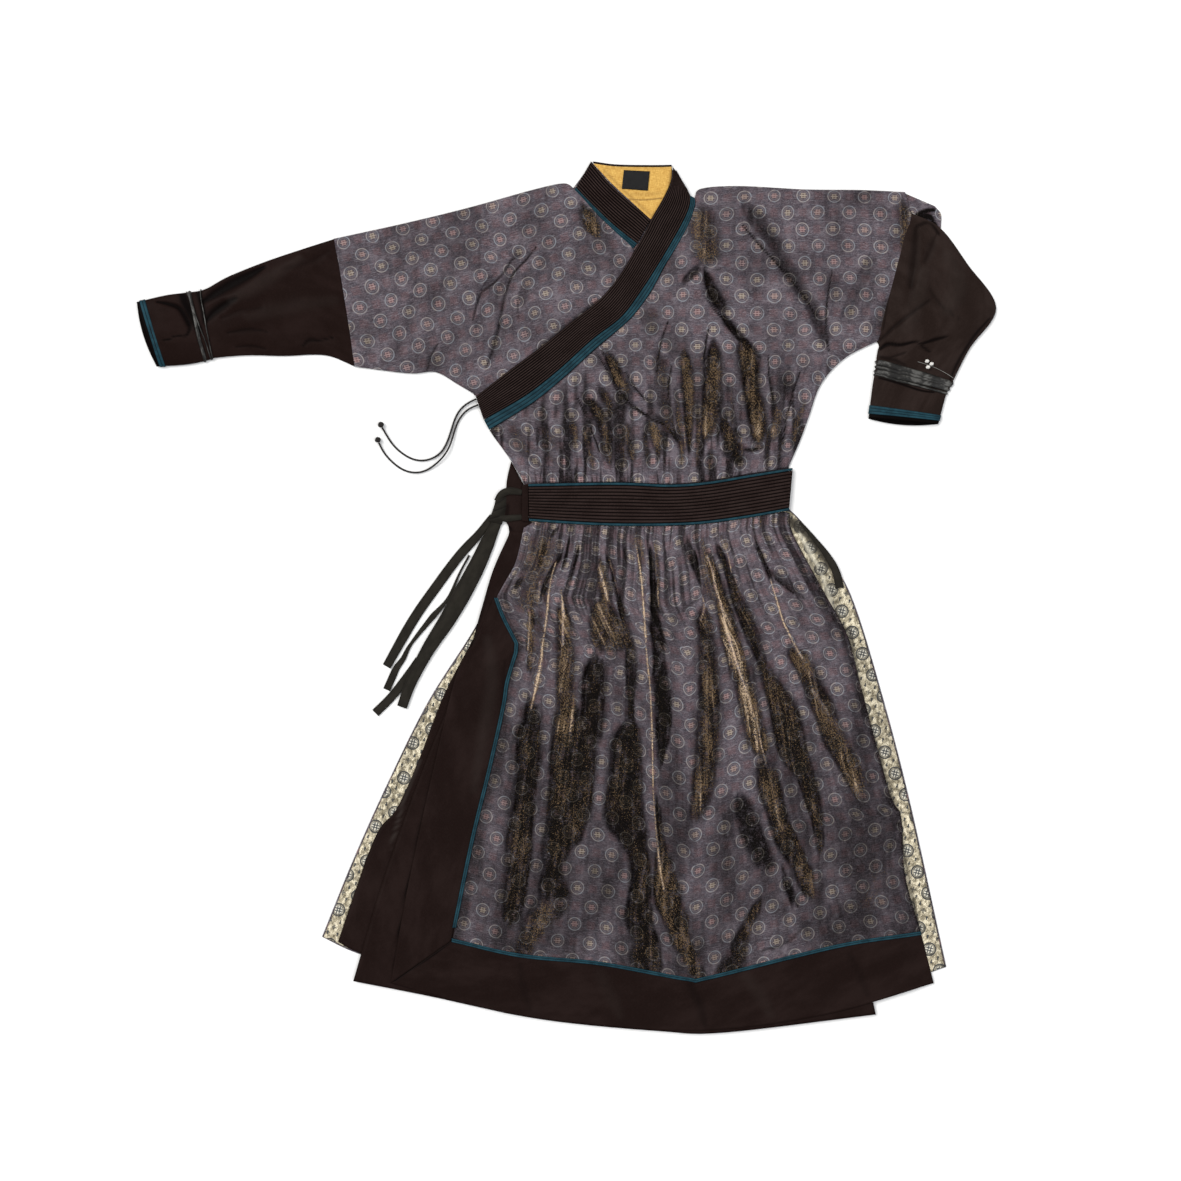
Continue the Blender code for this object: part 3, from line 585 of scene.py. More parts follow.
def satin(name, color=(0.0088, 0.0045, 0.0038), lit=(0.0150, 0.0086, 0.0076), rough=0.42):
    """Plain dark cloth with fine threads, lighter patches in soft clouds, painted shade in its creases and
    painted highlights on its ridges.
    """
    p = Paint(name)
    x, y = p.cloth()
    dark = p.attribute("dark")
    thread = p.noise(x, y, 1.6, 0.35, 3.0, 0.7)
    cloud = p.noise(x, y, 0.018, 0.010, 4.0, 0.65, z=3.0)
    p.color = p.mix(p.soft(cloud, 0.38, 0.68), color, lit)
    p.coat(p.times(p.soft(thread, 0.45, 0.75), 0.5), tuple(c * 1.7 for c in lit))
    # painted shade where the dark amount marks creases, then painted highlight where the gold amount marks
    # ridges that catch the light
    p.coat(p.soft(dark, 0.05, 1.0), (0.0025, 0.0015, 0.0014))
    p.coat(p.times(p.attribute("gold_glint"), 0.6), (0.060, 0.050, 0.045))
    p.relief(p.plus(thread, p.times(cloud, 2.0)), 0.3, 0.5)
    return p.finish(p.soft(thread, 0.3, 0.7, rough, rough + 0.12), sheen=0.002, specular=0.02)


def ridged(name, share=1.0):
    """Dark band sewn in close rows; grooves come in the mesh, their painted shade and stitches here."""
    p = Paint(name)
    x, y = p.cloth()
    dark = p.attribute("dark")
    thread = p.noise(x, y, 0.5, 1.8, 3.0, 0.7)
    cloud = p.noise(x, y, 0.03, 0.05, z=3.0)
    tones = (0.017, 0.0098, 0.0086), (0.028, 0.0175, 0.0158), (0.058, 0.039, 0.035)
    low, lit, bright = (tuple(share * c for c in tone) for tone in tones)
    p.color = p.mix(p.soft(cloud, 0.35, 0.65), low, lit)
    p.coat(p.times(p.soft(thread, 0.45, 0.65), 0.6), bright)
    stitch = p.near(p.fraction(p.times(x, 0.4)), 0.5, 0.30, 0.1)
    groove = p.mix(p.times(stitch, 0.5), (0.0010, 0.0005, 0.0005), (0.0050, 0.0030, 0.0028))
    # painted shade in the grooves between the rows, with their stitches showing in it
    p.coat(p.soft(dark, 0.10, 0.80), groove)
    p.relief(p.plus(thread, p.times(stitch, p.times(dark, 0.6))), 0.3, 0.5)
    return p.finish(0.5, sheen=0.002, specular=0.02)


def piping_cloth(name):
    """Teal bias piping with rows of dark stitching, and painted shade in the grooves between them."""
    p = Paint(name)
    x, y = p.cloth()
    dark = p.attribute("dark")
    slant = p.noise(p.plus(x, y), p.minus(x, y), 0.3, 1.3, 3.0, 0.7)
    cloud = p.noise(x, y, 0.05, 0.05, z=3.0)
    p.color = p.mix(p.soft(cloud, 0.35, 0.65), (0.0060, 0.0230, 0.0330), (0.0130, 0.0480, 0.0660))
    p.coat(p.times(p.soft(slant, 0.45, 0.7), 0.5), (0.028, 0.085, 0.112))
    stitch = p.near(p.fraction(p.times(x, 0.45)), 0.5, 0.28, 0.1)
    groove = p.mix(p.times(stitch, 0.5), (0.0018, 0.0050, 0.0075), (0.007, 0.019, 0.026))
    # painted shade in the grooves between the stitched rows
    p.coat(p.soft(dark, 0.25, 0.9), groove)
    p.relief(p.plus(slant, p.times(stitch, p.times(dark, 0.5))), 0.25, 0.5)
    return p.finish(0.5, sheen=0.005, specular=0.05)


def cream_lining(name):
    """Cream brocade lining with dark blue ringed roundels and small crosses."""
    p = Paint(name)
    x, y = p.cloth()
    dark, gold_glint = p.attribute("dark"), p.attribute("gold_glint")
    cx, cy, fy, _ = lattice(p, x, y, 46.0, 54.0)
    r = radius(p, cx, cy)
    thread = p.noise(x, y, 0.8, 1.5, 3.0, 0.7)
    cloud = p.noise(x, y, 0.04, 0.05, z=3.0)
    rumple_and_shading = p.noise(x, y, 0.16, 0.11, 4.0, 0.72, z=11.0)
    p.color = p.mix(p.soft(cloud, 0.35, 0.65), (0.290, 0.245, 0.158), (0.52, 0.455, 0.320))
    # painted shade in the hollows of small rumples, then painted highlights on their crests
    p.coat(p.soft(rumple_and_shading, 0.485, 0.40, 0.0, 0.85), (0.085, 0.068, 0.036))
    p.coat(p.soft(rumple_and_shading, 0.51, 0.57, 0.0, 0.90), (0.92, 0.83, 0.62))
    p.coat(p.times(p.soft(thread, 0.51, 0.58), 0.85), (0.075, 0.060, 0.036))
    p.coat(p.times(p.soft(thread, 0.46, 0.36), 0.75), (0.90, 0.83, 0.66))
    ring = p.most(p.near(r, 9.2, 0.75, 0.7), p.times(p.near(r, 7.0, 0.35, 0.5), 0.8))
    lines_y = p.near(p.size(cy), 1.9, 0.55, 0.6)
    lines_x = p.near(p.size(cx), 1.9, 0.55, 0.6)
    bars = p.times(p.most(lines_x, lines_y), p.near(r, 0.0, 5.6, 0.9))
    disc = p.near(r, 0.0, 5.6, 1.5)
    p.coat(p.times(disc, 0.6), (0.70, 0.68, 0.60))
    arm = p.most(p.times(p.near(cx, 0.0, 0.9, 0.5), p.near(fy, 0.0, 3.6, 0.6)),
                 p.times(p.near(fy, 0.0, 0.9, 0.5), p.near(cx, 0.0, 3.6, 0.6)))
    side = p.size(cx)
    level = p.size(fy)
    corner = p.times(p.near(side, 7.4, 1.3, 0.6), p.near(level, 8.2, 1.0, 0.6))
    tail = p.times(p.near(side, 7.4, 0.8, 0.4), p.near(level, 10.0, 2.1, 0.5))
    figure = p.most(p.most(ring, bars), p.most(p.times(arm, 0.75), corner))
    figure = p.most(figure, tail)
    p.coat(p.times(figure, 0.95), (0.024, 0.029, 0.036))
    # painted shade and the over-front's painted shadow where the dark amount is set, then painted highlights
    # where the gold amount is
    p.coat(p.soft(dark, 0.0, 1.0, 0.0, 0.96), (0.018, 0.014, 0.009))
    p.coat(p.times(gold_glint, 0.45), (0.88, 0.82, 0.66))
    p.relief(p.plus(thread, p.times(figure, 0.6)), 0.3, 0.5)
    return p.finish(0.42, sheen=0.05, specular=0.2)


def slub(name):
    """Mustard cotton with uneven threads both ways."""
    p = Paint(name)
    x, y = p.cloth()
    dark = p.attribute("dark")
    weft = p.noise(x, y, 0.12, 1.6, 3.0, 0.7)
    warp = p.noise(x, y, 1.6, 0.12, 3.0, 0.7, z=5.0)
    both = p.plus(p.times(weft, 0.5), p.times(warp, 0.5))
    p.color = p.mix(p.soft(both, 0.40, 0.62), (0.46, 0.235, 0.040), (0.78, 0.50, 0.13))
    # a dark seam line, and painted shade in the lining's creases
    p.coat(p.soft(dark, 0.0, 1.0, 0.0, 0.85), (0.16, 0.075, 0.014))
    p.relief(both, 0.5, 0.7)
    return p.finish(0.75, sheen=0.2, specular=0.3)


def woven(name, color, lit, pitch=0.7, rough=0.55, specular=0.15):
    """Narrow woven tape or cord with fine cross ribs."""
    p = Paint(name)
    x, y = p.cloth()
    rib = p.near(p.fraction(p.times(x, pitch)), 0.5, 0.2, 0.25)
    thread = p.noise(x, y, 0.7, 1.4, 3.0, 0.7)
    cloud = p.noise(x, y, 0.05, 0.08, z=3.0)
    p.color = p.mix(p.soft(cloud, 0.35, 0.65), color, lit)
    p.coat(p.times(rib, 0.35), tuple(c * 1.9 for c in lit))
    # painted shade where the dark amount is set: inside a ribbon's selvedges, where it curls and between the
    # knot's turns; on the label it darkens the stitched line
    p.coat(p.soft(p.attribute("dark"), 0.0, 1.0, 0.0, 0.85), (0.005, 0.004, 0.004))
    p.relief(p.plus(rib, thread), 0.3, 0.6)
    return p.finish(p.soft(thread, 0.3, 0.7, rough, rough + 0.1), sheen=0.03, specular=specular)


def leather(name):
    """Thin black leather lace, glossy, with a painted highlight along its crown."""
    p = Paint(name)
    x, y = p.cloth()
    grain = p.node("TexVoronoi", {"Vector": p.at(p.times(x, 0.9), p.times(y, 0.9)), "Scale": 1.0})
    cloud = p.noise(x, y, 0.06, 0.3, z=3.0)
    crown_highlight = p.near(p.fraction(p.times(y, 0.5 / math.pi)), 0.27, 0.06, 0.13)
    p.color = p.mix(p.soft(cloud, 0.40, 0.62), (0.0050, 0.0046, 0.0042), (0.022, 0.021, 0.019))
    # painted highlight along the crown of the lace
    p.coat(p.times(crown_highlight, p.soft(cloud, 0.52, 0.66)), (0.085, 0.083, 0.078))
    p.relief(grain.outputs["Distance"], 0.2, 0.5)
    return p.finish(p.soft(cloud, 0.3, 0.7, 0.45, 0.32), specular=0.25)


def pale_bead(name):
    """Pale horn bead with faint cloudy streaks."""
    p = Paint(name)
    x, y = p.cloth()
    streak = p.noise(x, y, 0.4, 0.15)
    p.color = p.mix(p.soft(streak, 0.35, 0.65), (0.62, 0.60, 0.56), (0.86, 0.85, 0.82))
    p.relief(streak, 0.2, 0.4)
    return p.finish(0.3, specular=0.5)


# paint: a slot name, and the material that its pieces take
PAINTS = {
    "brocade": ("brocade", brocade("brocade")),
    "brocade_skirt": ("brocade", brocade("brocade_skirt", 50.0, 54.6, 0.92)),
    "border": ("dark_cloth", satin("border_satin")),
    "sleeve": ("dark_cloth", satin("sleeve_satin", (0.0090, 0.0044, 0.0036), (0.0140, 0.0076, 0.0066), 0.36)),
    # the right sleeve's satin is a lighter copy of the left's: painted sheen
    "sleeve_right": ("dark_cloth", satin("sleeve_right_sheen_satin", (0.0130, 0.0078, 0.0064),
                                         (0.0225, 0.0148, 0.0128), 0.38)),
    "band": ("ridged_band", ridged("ridged_band", 0.85)),
    # the collar's copy of the band is lighter, with darker grooves: painted highlight on its crests and
    # painted shade between them
    "collar": ("ridged_band", ridged("ridged_collar_lit", 1.20)),
    "teal": ("teal_piping", piping_cloth("teal_piping")),
    "cream": ("cream_lining", cream_lining("cream_lining")),
    "mustard": ("mustard_lining", slub("mustard_lining")),
    "label": ("label", woven("label_satin", (0.0045, 0.0042, 0.0044), (0.0075, 0.0070, 0.0074), 1.1, 0.4)),
    "ribbon": ("ribbon", woven("ribbon_cloth", (0.0100, 0.0088, 0.0070), (0.0175, 0.0155, 0.0122),
                               specular=0.05)),
    "leather": ("lace", leather("black_leather")),
    "cord": ("cord", woven("braided_cord", (0.008, 0.0065, 0.0060), (0.018, 0.0155, 0.0145), 0.5, 0.45)),
    "bead": ("bead", pale_bead("pale_bead")),
    "tie_thread": ("cord", woven("tie_thread", (0.10, 0.096, 0.088), (0.20, 0.192, 0.180), 1.2)),
}


# ---------------------------------------------------------------- meshes
def outward(points, faces):
    """The faces, all turned round if they point inward; faces is a list of (count, corners) arrays."""
    volume = 0.0
    for part in faces:
        corners = points[part]
        for k in range(1, part.shape[1] - 1):
            volume += np.einsum("ij,ij->i", corners[:, 0], np.cross(corners[:, k], corners[:, k + 1])).sum()
    return [part[:, ::-1] for part in faces] if volume < 0 else faces


def mesh_piece(name, node, points, faces, cloth, paint, dark=0.0, gold_glint=0.0):
    """Closed mesh with its place on the flat cloth and its dark and gold amounts, all per point: painted
    shade, and gold weft with painted glints.

    It rides on the robe, takes its material from the paint and stands for its CAD node."""
    points = np.asarray(points, float)
    faces = outward(points, [np.asarray(part, np.int32) for part in faces if len(part)])
    sizes = np.concatenate([np.full(len(part), part.shape[1]) for part in faces])
    loops = np.concatenate([part.ravel() for part in faces])
    mesh = bpy.data.meshes.new(name)
    mesh.vertices.add(len(points))
    mesh.vertices.foreach_set("co", (points * MM).astype(np.float32).ravel())
    mesh.loops.add(len(loops))
    mesh.loops.foreach_set("vertex_index", loops.astype(np.int32))
    mesh.polygons.add(len(sizes))
    starts = np.concatenate([[0], np.cumsum(sizes)[:-1]])
    mesh.polygons.foreach_set("loop_start", starts.astype(np.int32))
    mesh.update(calc_edges=True)
    mesh.validate()
    mesh.shade_smooth()
    flat = np.zeros((len(points), 3), np.float32)
    flat[:, :cloth.shape[1]] = cloth
    mesh.attributes.new("cloth", "FLOAT_VECTOR", "POINT").data.foreach_set("vector", flat.ravel())
    for key, value in (("dark", dark), ("gold_glint", gold_glint)):
        amount = np.broadcast_to(np.asarray(value, np.float32), (len(points),))
        mesh.attributes.new(key, "FLOAT", "POINT").data.foreach_set("value", np.ascontiguousarray(amount))
    slot, material = PAINTS[paint]
    mesh.materials.append(material)
    piece = bpy.data.objects.new(name, mesh)
    bpy.context.scene.collection.objects.link(piece)
    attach(piece, "root")
    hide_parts(node)
    return piece


def quads(rows, cols, start=0, wrap=False):
    """Quads over a grid of points, closed round its columns if wrap."""
    r = np.arange(rows - 1)[:, None]
    c = np.arange(cols if wrap else cols - 1)[None, :]
    n = (c + 1) % cols
    a, b = r * cols + c, r * cols + n
    d, e = a + cols, b + cols
    return start + np.stack([a, b, e, d], -1).reshape(-1, 4)


def rim(rows, cols):
    """Point numbers round a grid's edge."""
    return np.concatenate([np.arange(cols), np.arange(1, rows) * cols + cols - 1,
                           (rows - 1) * cols + np.arange(cols - 2, -1, -1),
                           np.arange(rows - 2, 0, -1) * cols])


def lowest_near(field, reach):
    """Lowest value within reach rows and columns of each place."""
    padded = np.pad(field, reach, mode="edge")
    rows, cols = field.shape
    span = range(2 * reach + 1)
    across = np.minimum.reduce([padded[:, k:k + cols] for k in span])
    return np.minimum.reduce([across[k:k + rows] for k in span])


def sheet(name, node, grid, top, paint, thick=WALL, cloth=None, dark=0.0, gold_glint=0.0, coarse=1):
    """Closed thin shell whose upper face has the given heights.

    Its underside takes every coarse-th point, and coarse divides the grid's rows and columns evenly."""
    shape = grid.shape[:2]
    cloth = grid if cloth is None else cloth
    top, dark, gold_glint = (np.broadcast_to(np.asarray(f, float), shape) for f in (top, dark, gold_glint))
    low = (lowest_near(top, coarse) if coarse > 1 else top) - thick
    every = slice(None, None, coarse)
    upper = np.dstack([grid, top]).reshape(-1, 3)
    lower = np.dstack([grid, low])[every, every].reshape(-1, 3)
    low_shape = grid[every, every].shape[:2]
    count = shape[0] * shape[1]
    edge, low_edge = rim(*shape), count + rim(*low_shape)
    steps = np.arange(len(low_edge))[:, None] * coarse + np.arange(coarse + 1)[None]
    along = edge[steps % len(edge)]
    sides = np.hstack([along[:, ::-1], low_edge[:, None], np.roll(low_edge, -1)[:, None]])
    faces = [quads(*shape), count + quads(*low_shape)[:, ::-1], sides]
    both = [np.concatenate([f.reshape(-1), f[every, every].reshape(-1)]) for f in (dark, gold_glint)]
    flat = np.vstack([c.reshape(-1, cloth.shape[2]) for c in (cloth, cloth[every, every])])
    return mesh_piece(name, node, np.vstack([upper, lower]), faces, flat, paint, *both)


def tube_points(path, radius_mm, sides, flat=1.0, closed=False):
    """Rings of points round a line; flat squeezes the section's height."""
    if closed:
        run = np.roll(path, -1, axis=0) - np.roll(path, 1, axis=0)
    else:
        run = np.gradient(path, axis=0)
    run /= np.linalg.norm(run, axis=1)[:, None]
    across = np.cross(run, (0.0, 0.0, 1.0))
    across /= np.maximum(np.linalg.norm(across, axis=1), 1e-6)[:, None]
    rise = np.cross(across, run)
    angle = np.linspace(0, 2 * math.pi, sides, endpoint=False)[None, :, None]
    wide = radius_mm * np.cos(angle) * across[:, None]
    tall = radius_mm * flat * np.sin(angle) * rise[:, None]
    return path[:, None] + wide + tall


def tube_piece(name, node, path, radius_mm, paint, sides=12, flat=1.0, closed=False, braid=0.0):
    """Solid round or flattened cord along a line, capped or closed on itself."""
    rings = tube_points(path, radius_mm, sides, flat, closed)
    count = len(rings)
    along = lengths_along(path)
    angle = np.linspace(0, 2 * math.pi, sides, endpoint=False)[None]
    if braid:
        turn = along[:, None] * BRAID_TURN
        swell = 1 + braid * np.sin(2 * angle + turn) * np.sin(2 * angle - turn)
        rings = path[:, None] + (rings - path[:, None]) * swell[..., None]
    # leather's y is the angle round the lace, which places its painted highlight; a cord's y is in mm
    around = angle * (1.0 if paint == "leather" else radius_mm)
    cloth = np.dstack([np.repeat(along[:, None], sides, 1), np.repeat(around, count, 0)]).reshape(-1, 2)
    points = rings.reshape(-1, 3)
    a = np.arange(count if closed else count - 1)[:, None] * sides
    b = (np.arange(1, count + 1 if closed else count)[:, None] % count) * sides
    s = np.arange(sides)
    n = (s + 1) % sides
    faces = [np.stack([a + s, b + s, b + n, a + n], -1).reshape(-1, 4)]
    if not closed:
        head = np.full(sides, len(points))
        last_ring = (count - 1) * sides
        points = np.vstack([points, path[0], path[-1]])
        cloth = np.vstack([cloth, [[0, 0], [along[-1], 0]]])
        faces.append(np.vstack([np.stack([head, s, n], -1),
                                np.stack([head + 1, last_ring + n, last_ring + s], -1)]))
    return mesh_piece(name, node, points, faces, cloth, paint)


# ---------------------------------------------------------------- camera, floor and light
def build_camera():
    """Straight above the robe, framed as the robe lies in its square picture."""
    data = bpy.data.cameras.new("camera")
    data.sensor_width = 36.0
    high, wide = 4.0, 1.7715
    data.lens = 36.0 * (high - 0.005) / wide
    camera = bpy.data.objects.new("camera", data)
    camera.location = (0.036, 0.009, high)
    bpy.context.scene.collection.objects.link(camera)
    bpy.context.scene.camera = camera


def lamp(name, azimuth, elevation, strength, softness, color=(1, 1, 1)):
    """Wide even lamp far off: angles in degrees, azimuth 0 is +X and 90 is +Y."""
    data = bpy.data.lights.new(name, "SUN")
    data.energy = strength
    data.angle = math.radians(softness)
    data.color = color
    light = bpy.data.objects.new(name, data)
    light.rotation_euler = (0, math.radians(90 - elevation), math.radians(azimuth))
    bpy.context.scene.collection.objects.link(light)


def build_studio():
    """Pale floor under a soft key from the upper left, a weak fill and an even sky."""
    mesh = bpy.data.meshes.new("floor")
    half, low = 40.0, -0.0006
    mesh.from_pydata([(-half, -half, low), (half, -half, low), (half, half, low), (-half, half, low)],
                     [], [(0, 1, 2, 3)])
    floor = bpy.data.objects.new("floor", mesh)
    bpy.context.scene.collection.objects.link(floor)
    pale = bpy.data.materials.new("pale_floor")
    pale.use_nodes = True
    pale.node_tree.nodes["Principled BSDF"].inputs["Base Color"].default_value = (0.90, 0.90, 0.90, 1)
    pale.node_tree.nodes["Principled BSDF"].inputs["Roughness"].default_value = 0.9
    mesh.materials.append(pale)
    lamp("key", 145, 50, 2.6, 40, (1.0, 0.985, 0.96))
    lamp("fill", -20, 55, 1.2, 50, (0.95, 0.97, 1.0))
    world = bpy.data.worlds.new("studio")
    world.use_nodes = True
    sky = world.node_tree.nodes["Background"]
    sky.inputs["Color"].default_value = (1, 1, 1, 1)
    sky.inputs["Strength"].default_value = 0.38
    bpy.context.scene.world = world
    bpy.context.scene.view_settings.view_transform = "Standard"


# ---------------------------------------------------------------- cords
CORD_A = line((-135.3, 296.4, 4.0), (-150, 290, 2.2), (-165, 274, 1.7), (-176, 240, 1.7), (-190, 213, 1.7),
              (-223, 203, 1.7), (-257, 223, 1.7), (-276.7, 253.6, 3.4))
CORD_B = line((-132.3, 287.6, 4.0), (-150, 281, 2.2), (-165, 260, 1.7), (-171, 237, 3.4), (-182, 212, 5.0),
              (-209, 189, 1.7), (-226, 185, 1.7), (-247, 190, 1.7), (-273, 213, 1.8), (-281.5, 230.5, 3.3))
CORD_WIDE = 2.8       # diameter
BRAID_TURN = 1.8      # radians that a cord's plait turns in one mm


def knot_ball(name, node, centre, radii, paint, lobes=0.10):
    """Rounded knot whose turns cross over it."""
    rings, sides = 20, 28
    phi = np.linspace(0, math.pi, rings + 1)[:, None]
    turn = np.linspace(0, 2 * math.pi, sides, endpoint=False)[None]
    x = np.sin(phi) * np.cos(turn)
    y = np.sin(phi) * np.sin(turn)
    z = np.cos(phi) * np.ones_like(turn)
    swell = 1 - lobes + lobes * (np.abs(np.sin(4.5 * x + 2 * y)) * np.abs(np.sin(4.5 * z - 2 * x)))
    points = np.dstack([centre[0] + radii[0] * x * swell, centre[1] + radii[1] * y * swell,
                        centre[2] + radii[2] * z * swell])
    grid = points[1:-1].reshape(-1, 3)
    poles = np.array([points[0, 0], points[-1, 0]])
    four = quads(rings - 1, sides, wrap=True)
    s = np.arange(sides)
    n = (s + 1) % sides
    top, low = len(grid), len(grid) + 1
    last = (rings - 2) * sides
    caps = np.vstack([np.stack([np.full(sides, top), n, s], -1),
                      np.stack([np.full(sides, low), last + s, last + n], -1)])
    cloth = np.vstack([np.dstack([turn * radii[0] + 0 * phi, phi * radii[0] + 0 * turn])[1:-1].reshape(-1, 2),
                       [[0, 0], [0, 0]]])
    return mesh_piece(name, node, np.vstack([grid, poles]), [four, caps], cloth, paint)


def rounded(path, reach):
    """The line with its bends rounded in plan over reach points each way, its ends kept."""
    padded = np.vstack([2 * path[0] - path[reach:0:-1], path, 2 * path[-1] - path[-2:-reach - 2:-1]])
    share = np.ones(2 * reach + 1) / (2 * reach + 1)
    plan = [np.convolve(padded[:, k], share, "valid") for k in (0, 1)]
    return np.column_stack([*plan, path[:, 2]])


def build_cords():
    """Two limp cords from the collar's end, each ending in a ball knot."""
    for letter, route, ball in (("a", CORD_A, (-278.5, 257.8, 4.4)), ("b", CORD_B, (-283, 235, 4.4))):
        path = rounded(rounded(sample(route, np.linspace(0, 1, 260)), 14), 14)
        cord = tube_piece("cord_" + letter, "side_cord_" + letter, path, CORD_WIDE / 2, "cord", braid=0.05)
        knot = knot_ball("ball_knot_" + letter, "cord_knot_" + letter, ball, (4.6, 4.6, 4.4), "cord")


# ---------------------------------------------------------------- outlines of the robe
WAIST_TOP = line((-63, 169), (71, 171), (148, 168), (205, 172), (272, 183), (333, 193))
WAIST_LOW = line((-56, 113), (4, 109), (71, 106), (148, 106), (205, 109), (272, 118), (334, 129))
SEAM_LEFT = join(line((-106, -2), (-95, -31), (-75, -70)),
                 line((-76, -84), (-89, -128), (-95, -166), (-116, -260), (-142, -368), (-172, -515)))
SEAM_HEM = line((-172, -515), (-70, -538), (50, -550), (178, -573), (210, -572), (343, -539),
                (432, -519), (532, -505))
SKIRT_RIGHT = line((335, 125), (339, 96), (383, 13), (422, -59), (439, -125), (484, -292),
                   (502, -331), (508, -418), (532, -505))
BORDER_LEFT = line((-111, -6), (-136, -65), (-162, -107), (-192, -224), (-236, -425), (-264, -580))
HEM_LOW = line((-264, -580), (-148, -611), (-47, -632), (140, -650), (257, -647), (401, -624), (551, -580))
UNDER_LEFT = line((-84, 98), (-110, 40), (-128, -20), (-154, -107), (-214, -254), (-275, -425), (-320, -577))
UNDER_HEM = line((-320, -577), (-208, -599), (-40, -634), (140, -652), (238, -654), (464, -627))
PLEAT_LEFT = line((-136, -56), (-184, -148), (-220, -241), (-254, -317), (-289, -365), (-343, -518))
BACK_LEFT = line((-56, 115), (-100, 55), (-131, -35), (-206, -155), (-266, -275), (-320, -395), (-367, -511))
BACK_HEM = line((-367, -511), (-313, -536), (-205, -568), (-70, -605), (200, -628), (440, -598), (570, -556))
BACK_RIGHT = line((334, 131), (348, 118), (373, 88), (403, 47), (430, -6), (463, -110), (511, -290),
                  (570, -556))
SHOULDER_LEFT = line((-349, 537), (-248, 559), (-149, 583), (-52, 610), (-5, 620), (11, 613))
SLEEVE_SEAM_LEFT = line((-349, 537), (-318, 345))
UNDERARM_LEFT = line((-318, 345), (-236, 335), (-197, 337), (-164, 319), (-137, 303))
SHOULDER_RIGHT = line((192, 597), (202, 612), (260, 616), (358, 611), (442, 610), (508, 607))
SLEEVE_SEAM_RIGHT = join(line((508, 607), (518, 573)), line((508, 524), (488, 446), (468, 384)))
UNDERARM_RIGHT = line((468, 384), (418, 358), (382, 319), (364, 271), (350, 233), (333, 194))
BODICE_LOW_LEFT = line((-116, 249), (-84, 205), (-63, 170.5))

# lengthwise collar edges: i inner, s piping seam, p outer
OVER_COLLAR = table("ix iy sx sy px py",
                    (160, 644, 162, 641, 163, 640), (158, 625, 176, 620, 178, 619),
                    (151, 607, 185, 602, 192, 598), (140, 586, 184, 584, 191, 581),
                    (127, 566, 173, 559, 182, 556), (118, 547, 155, 527, 164, 523),
                    (101, 517, 137, 497, 146, 494), (80, 482, 113, 460, 125, 455),
                    (50, 446, 82, 419, 94, 415), (13, 416, 38, 385, 46, 374),
                    (-40, 373, -14, 338, -7, 326), (-85, 340, -62, 301, -53, 289),
                    (-136, 300, -124, 265, -116, 250))
UNDER_COLLAR = table("ix iy sx sy px py",
                     (37, 653, 14, 614, 10, 608), (65, 620, 35, 592, 28, 590),
                     (95, 593, 65, 563, 50, 566), (113, 578, 89, 543, 80, 539),
                     (126, 565, 106, 530, 100, 522))
# sections of the lower sleeves from seam to cuff: folded edges a and b, height, floor
SLEEVE_LEFT = ((-348, 537, -317, 345, 3.2, 0), (-395, 522, -362, 362, 6.0, 0),
               (-451, 503, -425, 361, 8.5, 0.4), (-508, 480, -478, 362, 9.0, 1.0),
               (-543, 461, -527, 358, 7.0, STRAP_FLOOR), (-572, 456, -539, 354, 6.5, STRAP_FLOOR),
               (-602, 452, -570, 348, 8.5, STRAP_FLOOR), (-645, 442, -615, 345, 9.5, 1.4))
SLEEVE_RIGHT = ((516, 577, 466, 382, 3.2, 0), (561.5, 553, 469, 376, 6.0, 0),
                (602, 499, 467, 369, 8.5, 0.4), (645, 433, 466, 363, 9.0, 1.0),
                (605, 372, 465, 358, 8.0, 1.4), (578, 319, 465, 353, 6.0, STRAP_FLOOR),
                (571, 306, 463, 338, 6.5, STRAP_FLOOR), (566, 290, 459, 315, 8.5, STRAP_FLOOR),
                (558, 259, 453, 267, 10.0, 1.4))


def collar_line(rows, which):
    """Listed points of one lengthwise collar edge."""
    return np.array([(row[which + "x"], row[which + "y"]) for row in rows], float)


def collar_edge(rows, which, count, start=0):
    """Smooth lengthwise collar edge, resampled; matching edges share their spacing."""
    whole = line(*[(row[which + "x"], row[which + "y"]) for row in rows])[start * 8:]
    where = np.linspace(0, len(whole) - 1, count)
    return np.stack([np.interp(where, np.arange(len(whole)), whole[:, k]) for k in (0, 1)], -1)


def smeared(field, reach):
    """Field averaged along its columns over reach rows each way."""
    padded = np.pad(field, ((reach, reach), (0, 0)), mode="edge")
    total = np.cumsum(np.vstack([np.zeros((1, field.shape[1])), padded]), axis=0)
    width = 2 * reach + 1
    return (total[width:] - total[:-width]) / width


def gathered(grid, hollow, total):
    """Flat cloth places of a gathered panel: the spare width lies in the hollows."""
    step = np.linalg.norm(np.diff(grid, axis=1), axis=2)
    deep = smeared((hollow[:, 1:] + hollow[:, :-1]) / 2, 40)
    deep = smeared(deep.T, 11).T + 0.06
    spare = np.maximum(total - step.sum(1), 0)
    pull = (spare / (deep * step).sum(1))[:, None]
    across = np.zeros(grid.shape[:2])
    across[:, 1:] = np.cumsum(step * (1 + pull * deep), axis=1)
    across *= (total / across[:, -1:])
    _, down = run_lengths(grid)
    stretch = np.gradient(across, axis=1) / np.maximum(np.gradient(run_lengths(grid)[0], axis=1), 1e-6)
    return np.dstack([across, down[-1:] - down, smeared(smeared(stretch, 6).T, 5).T])
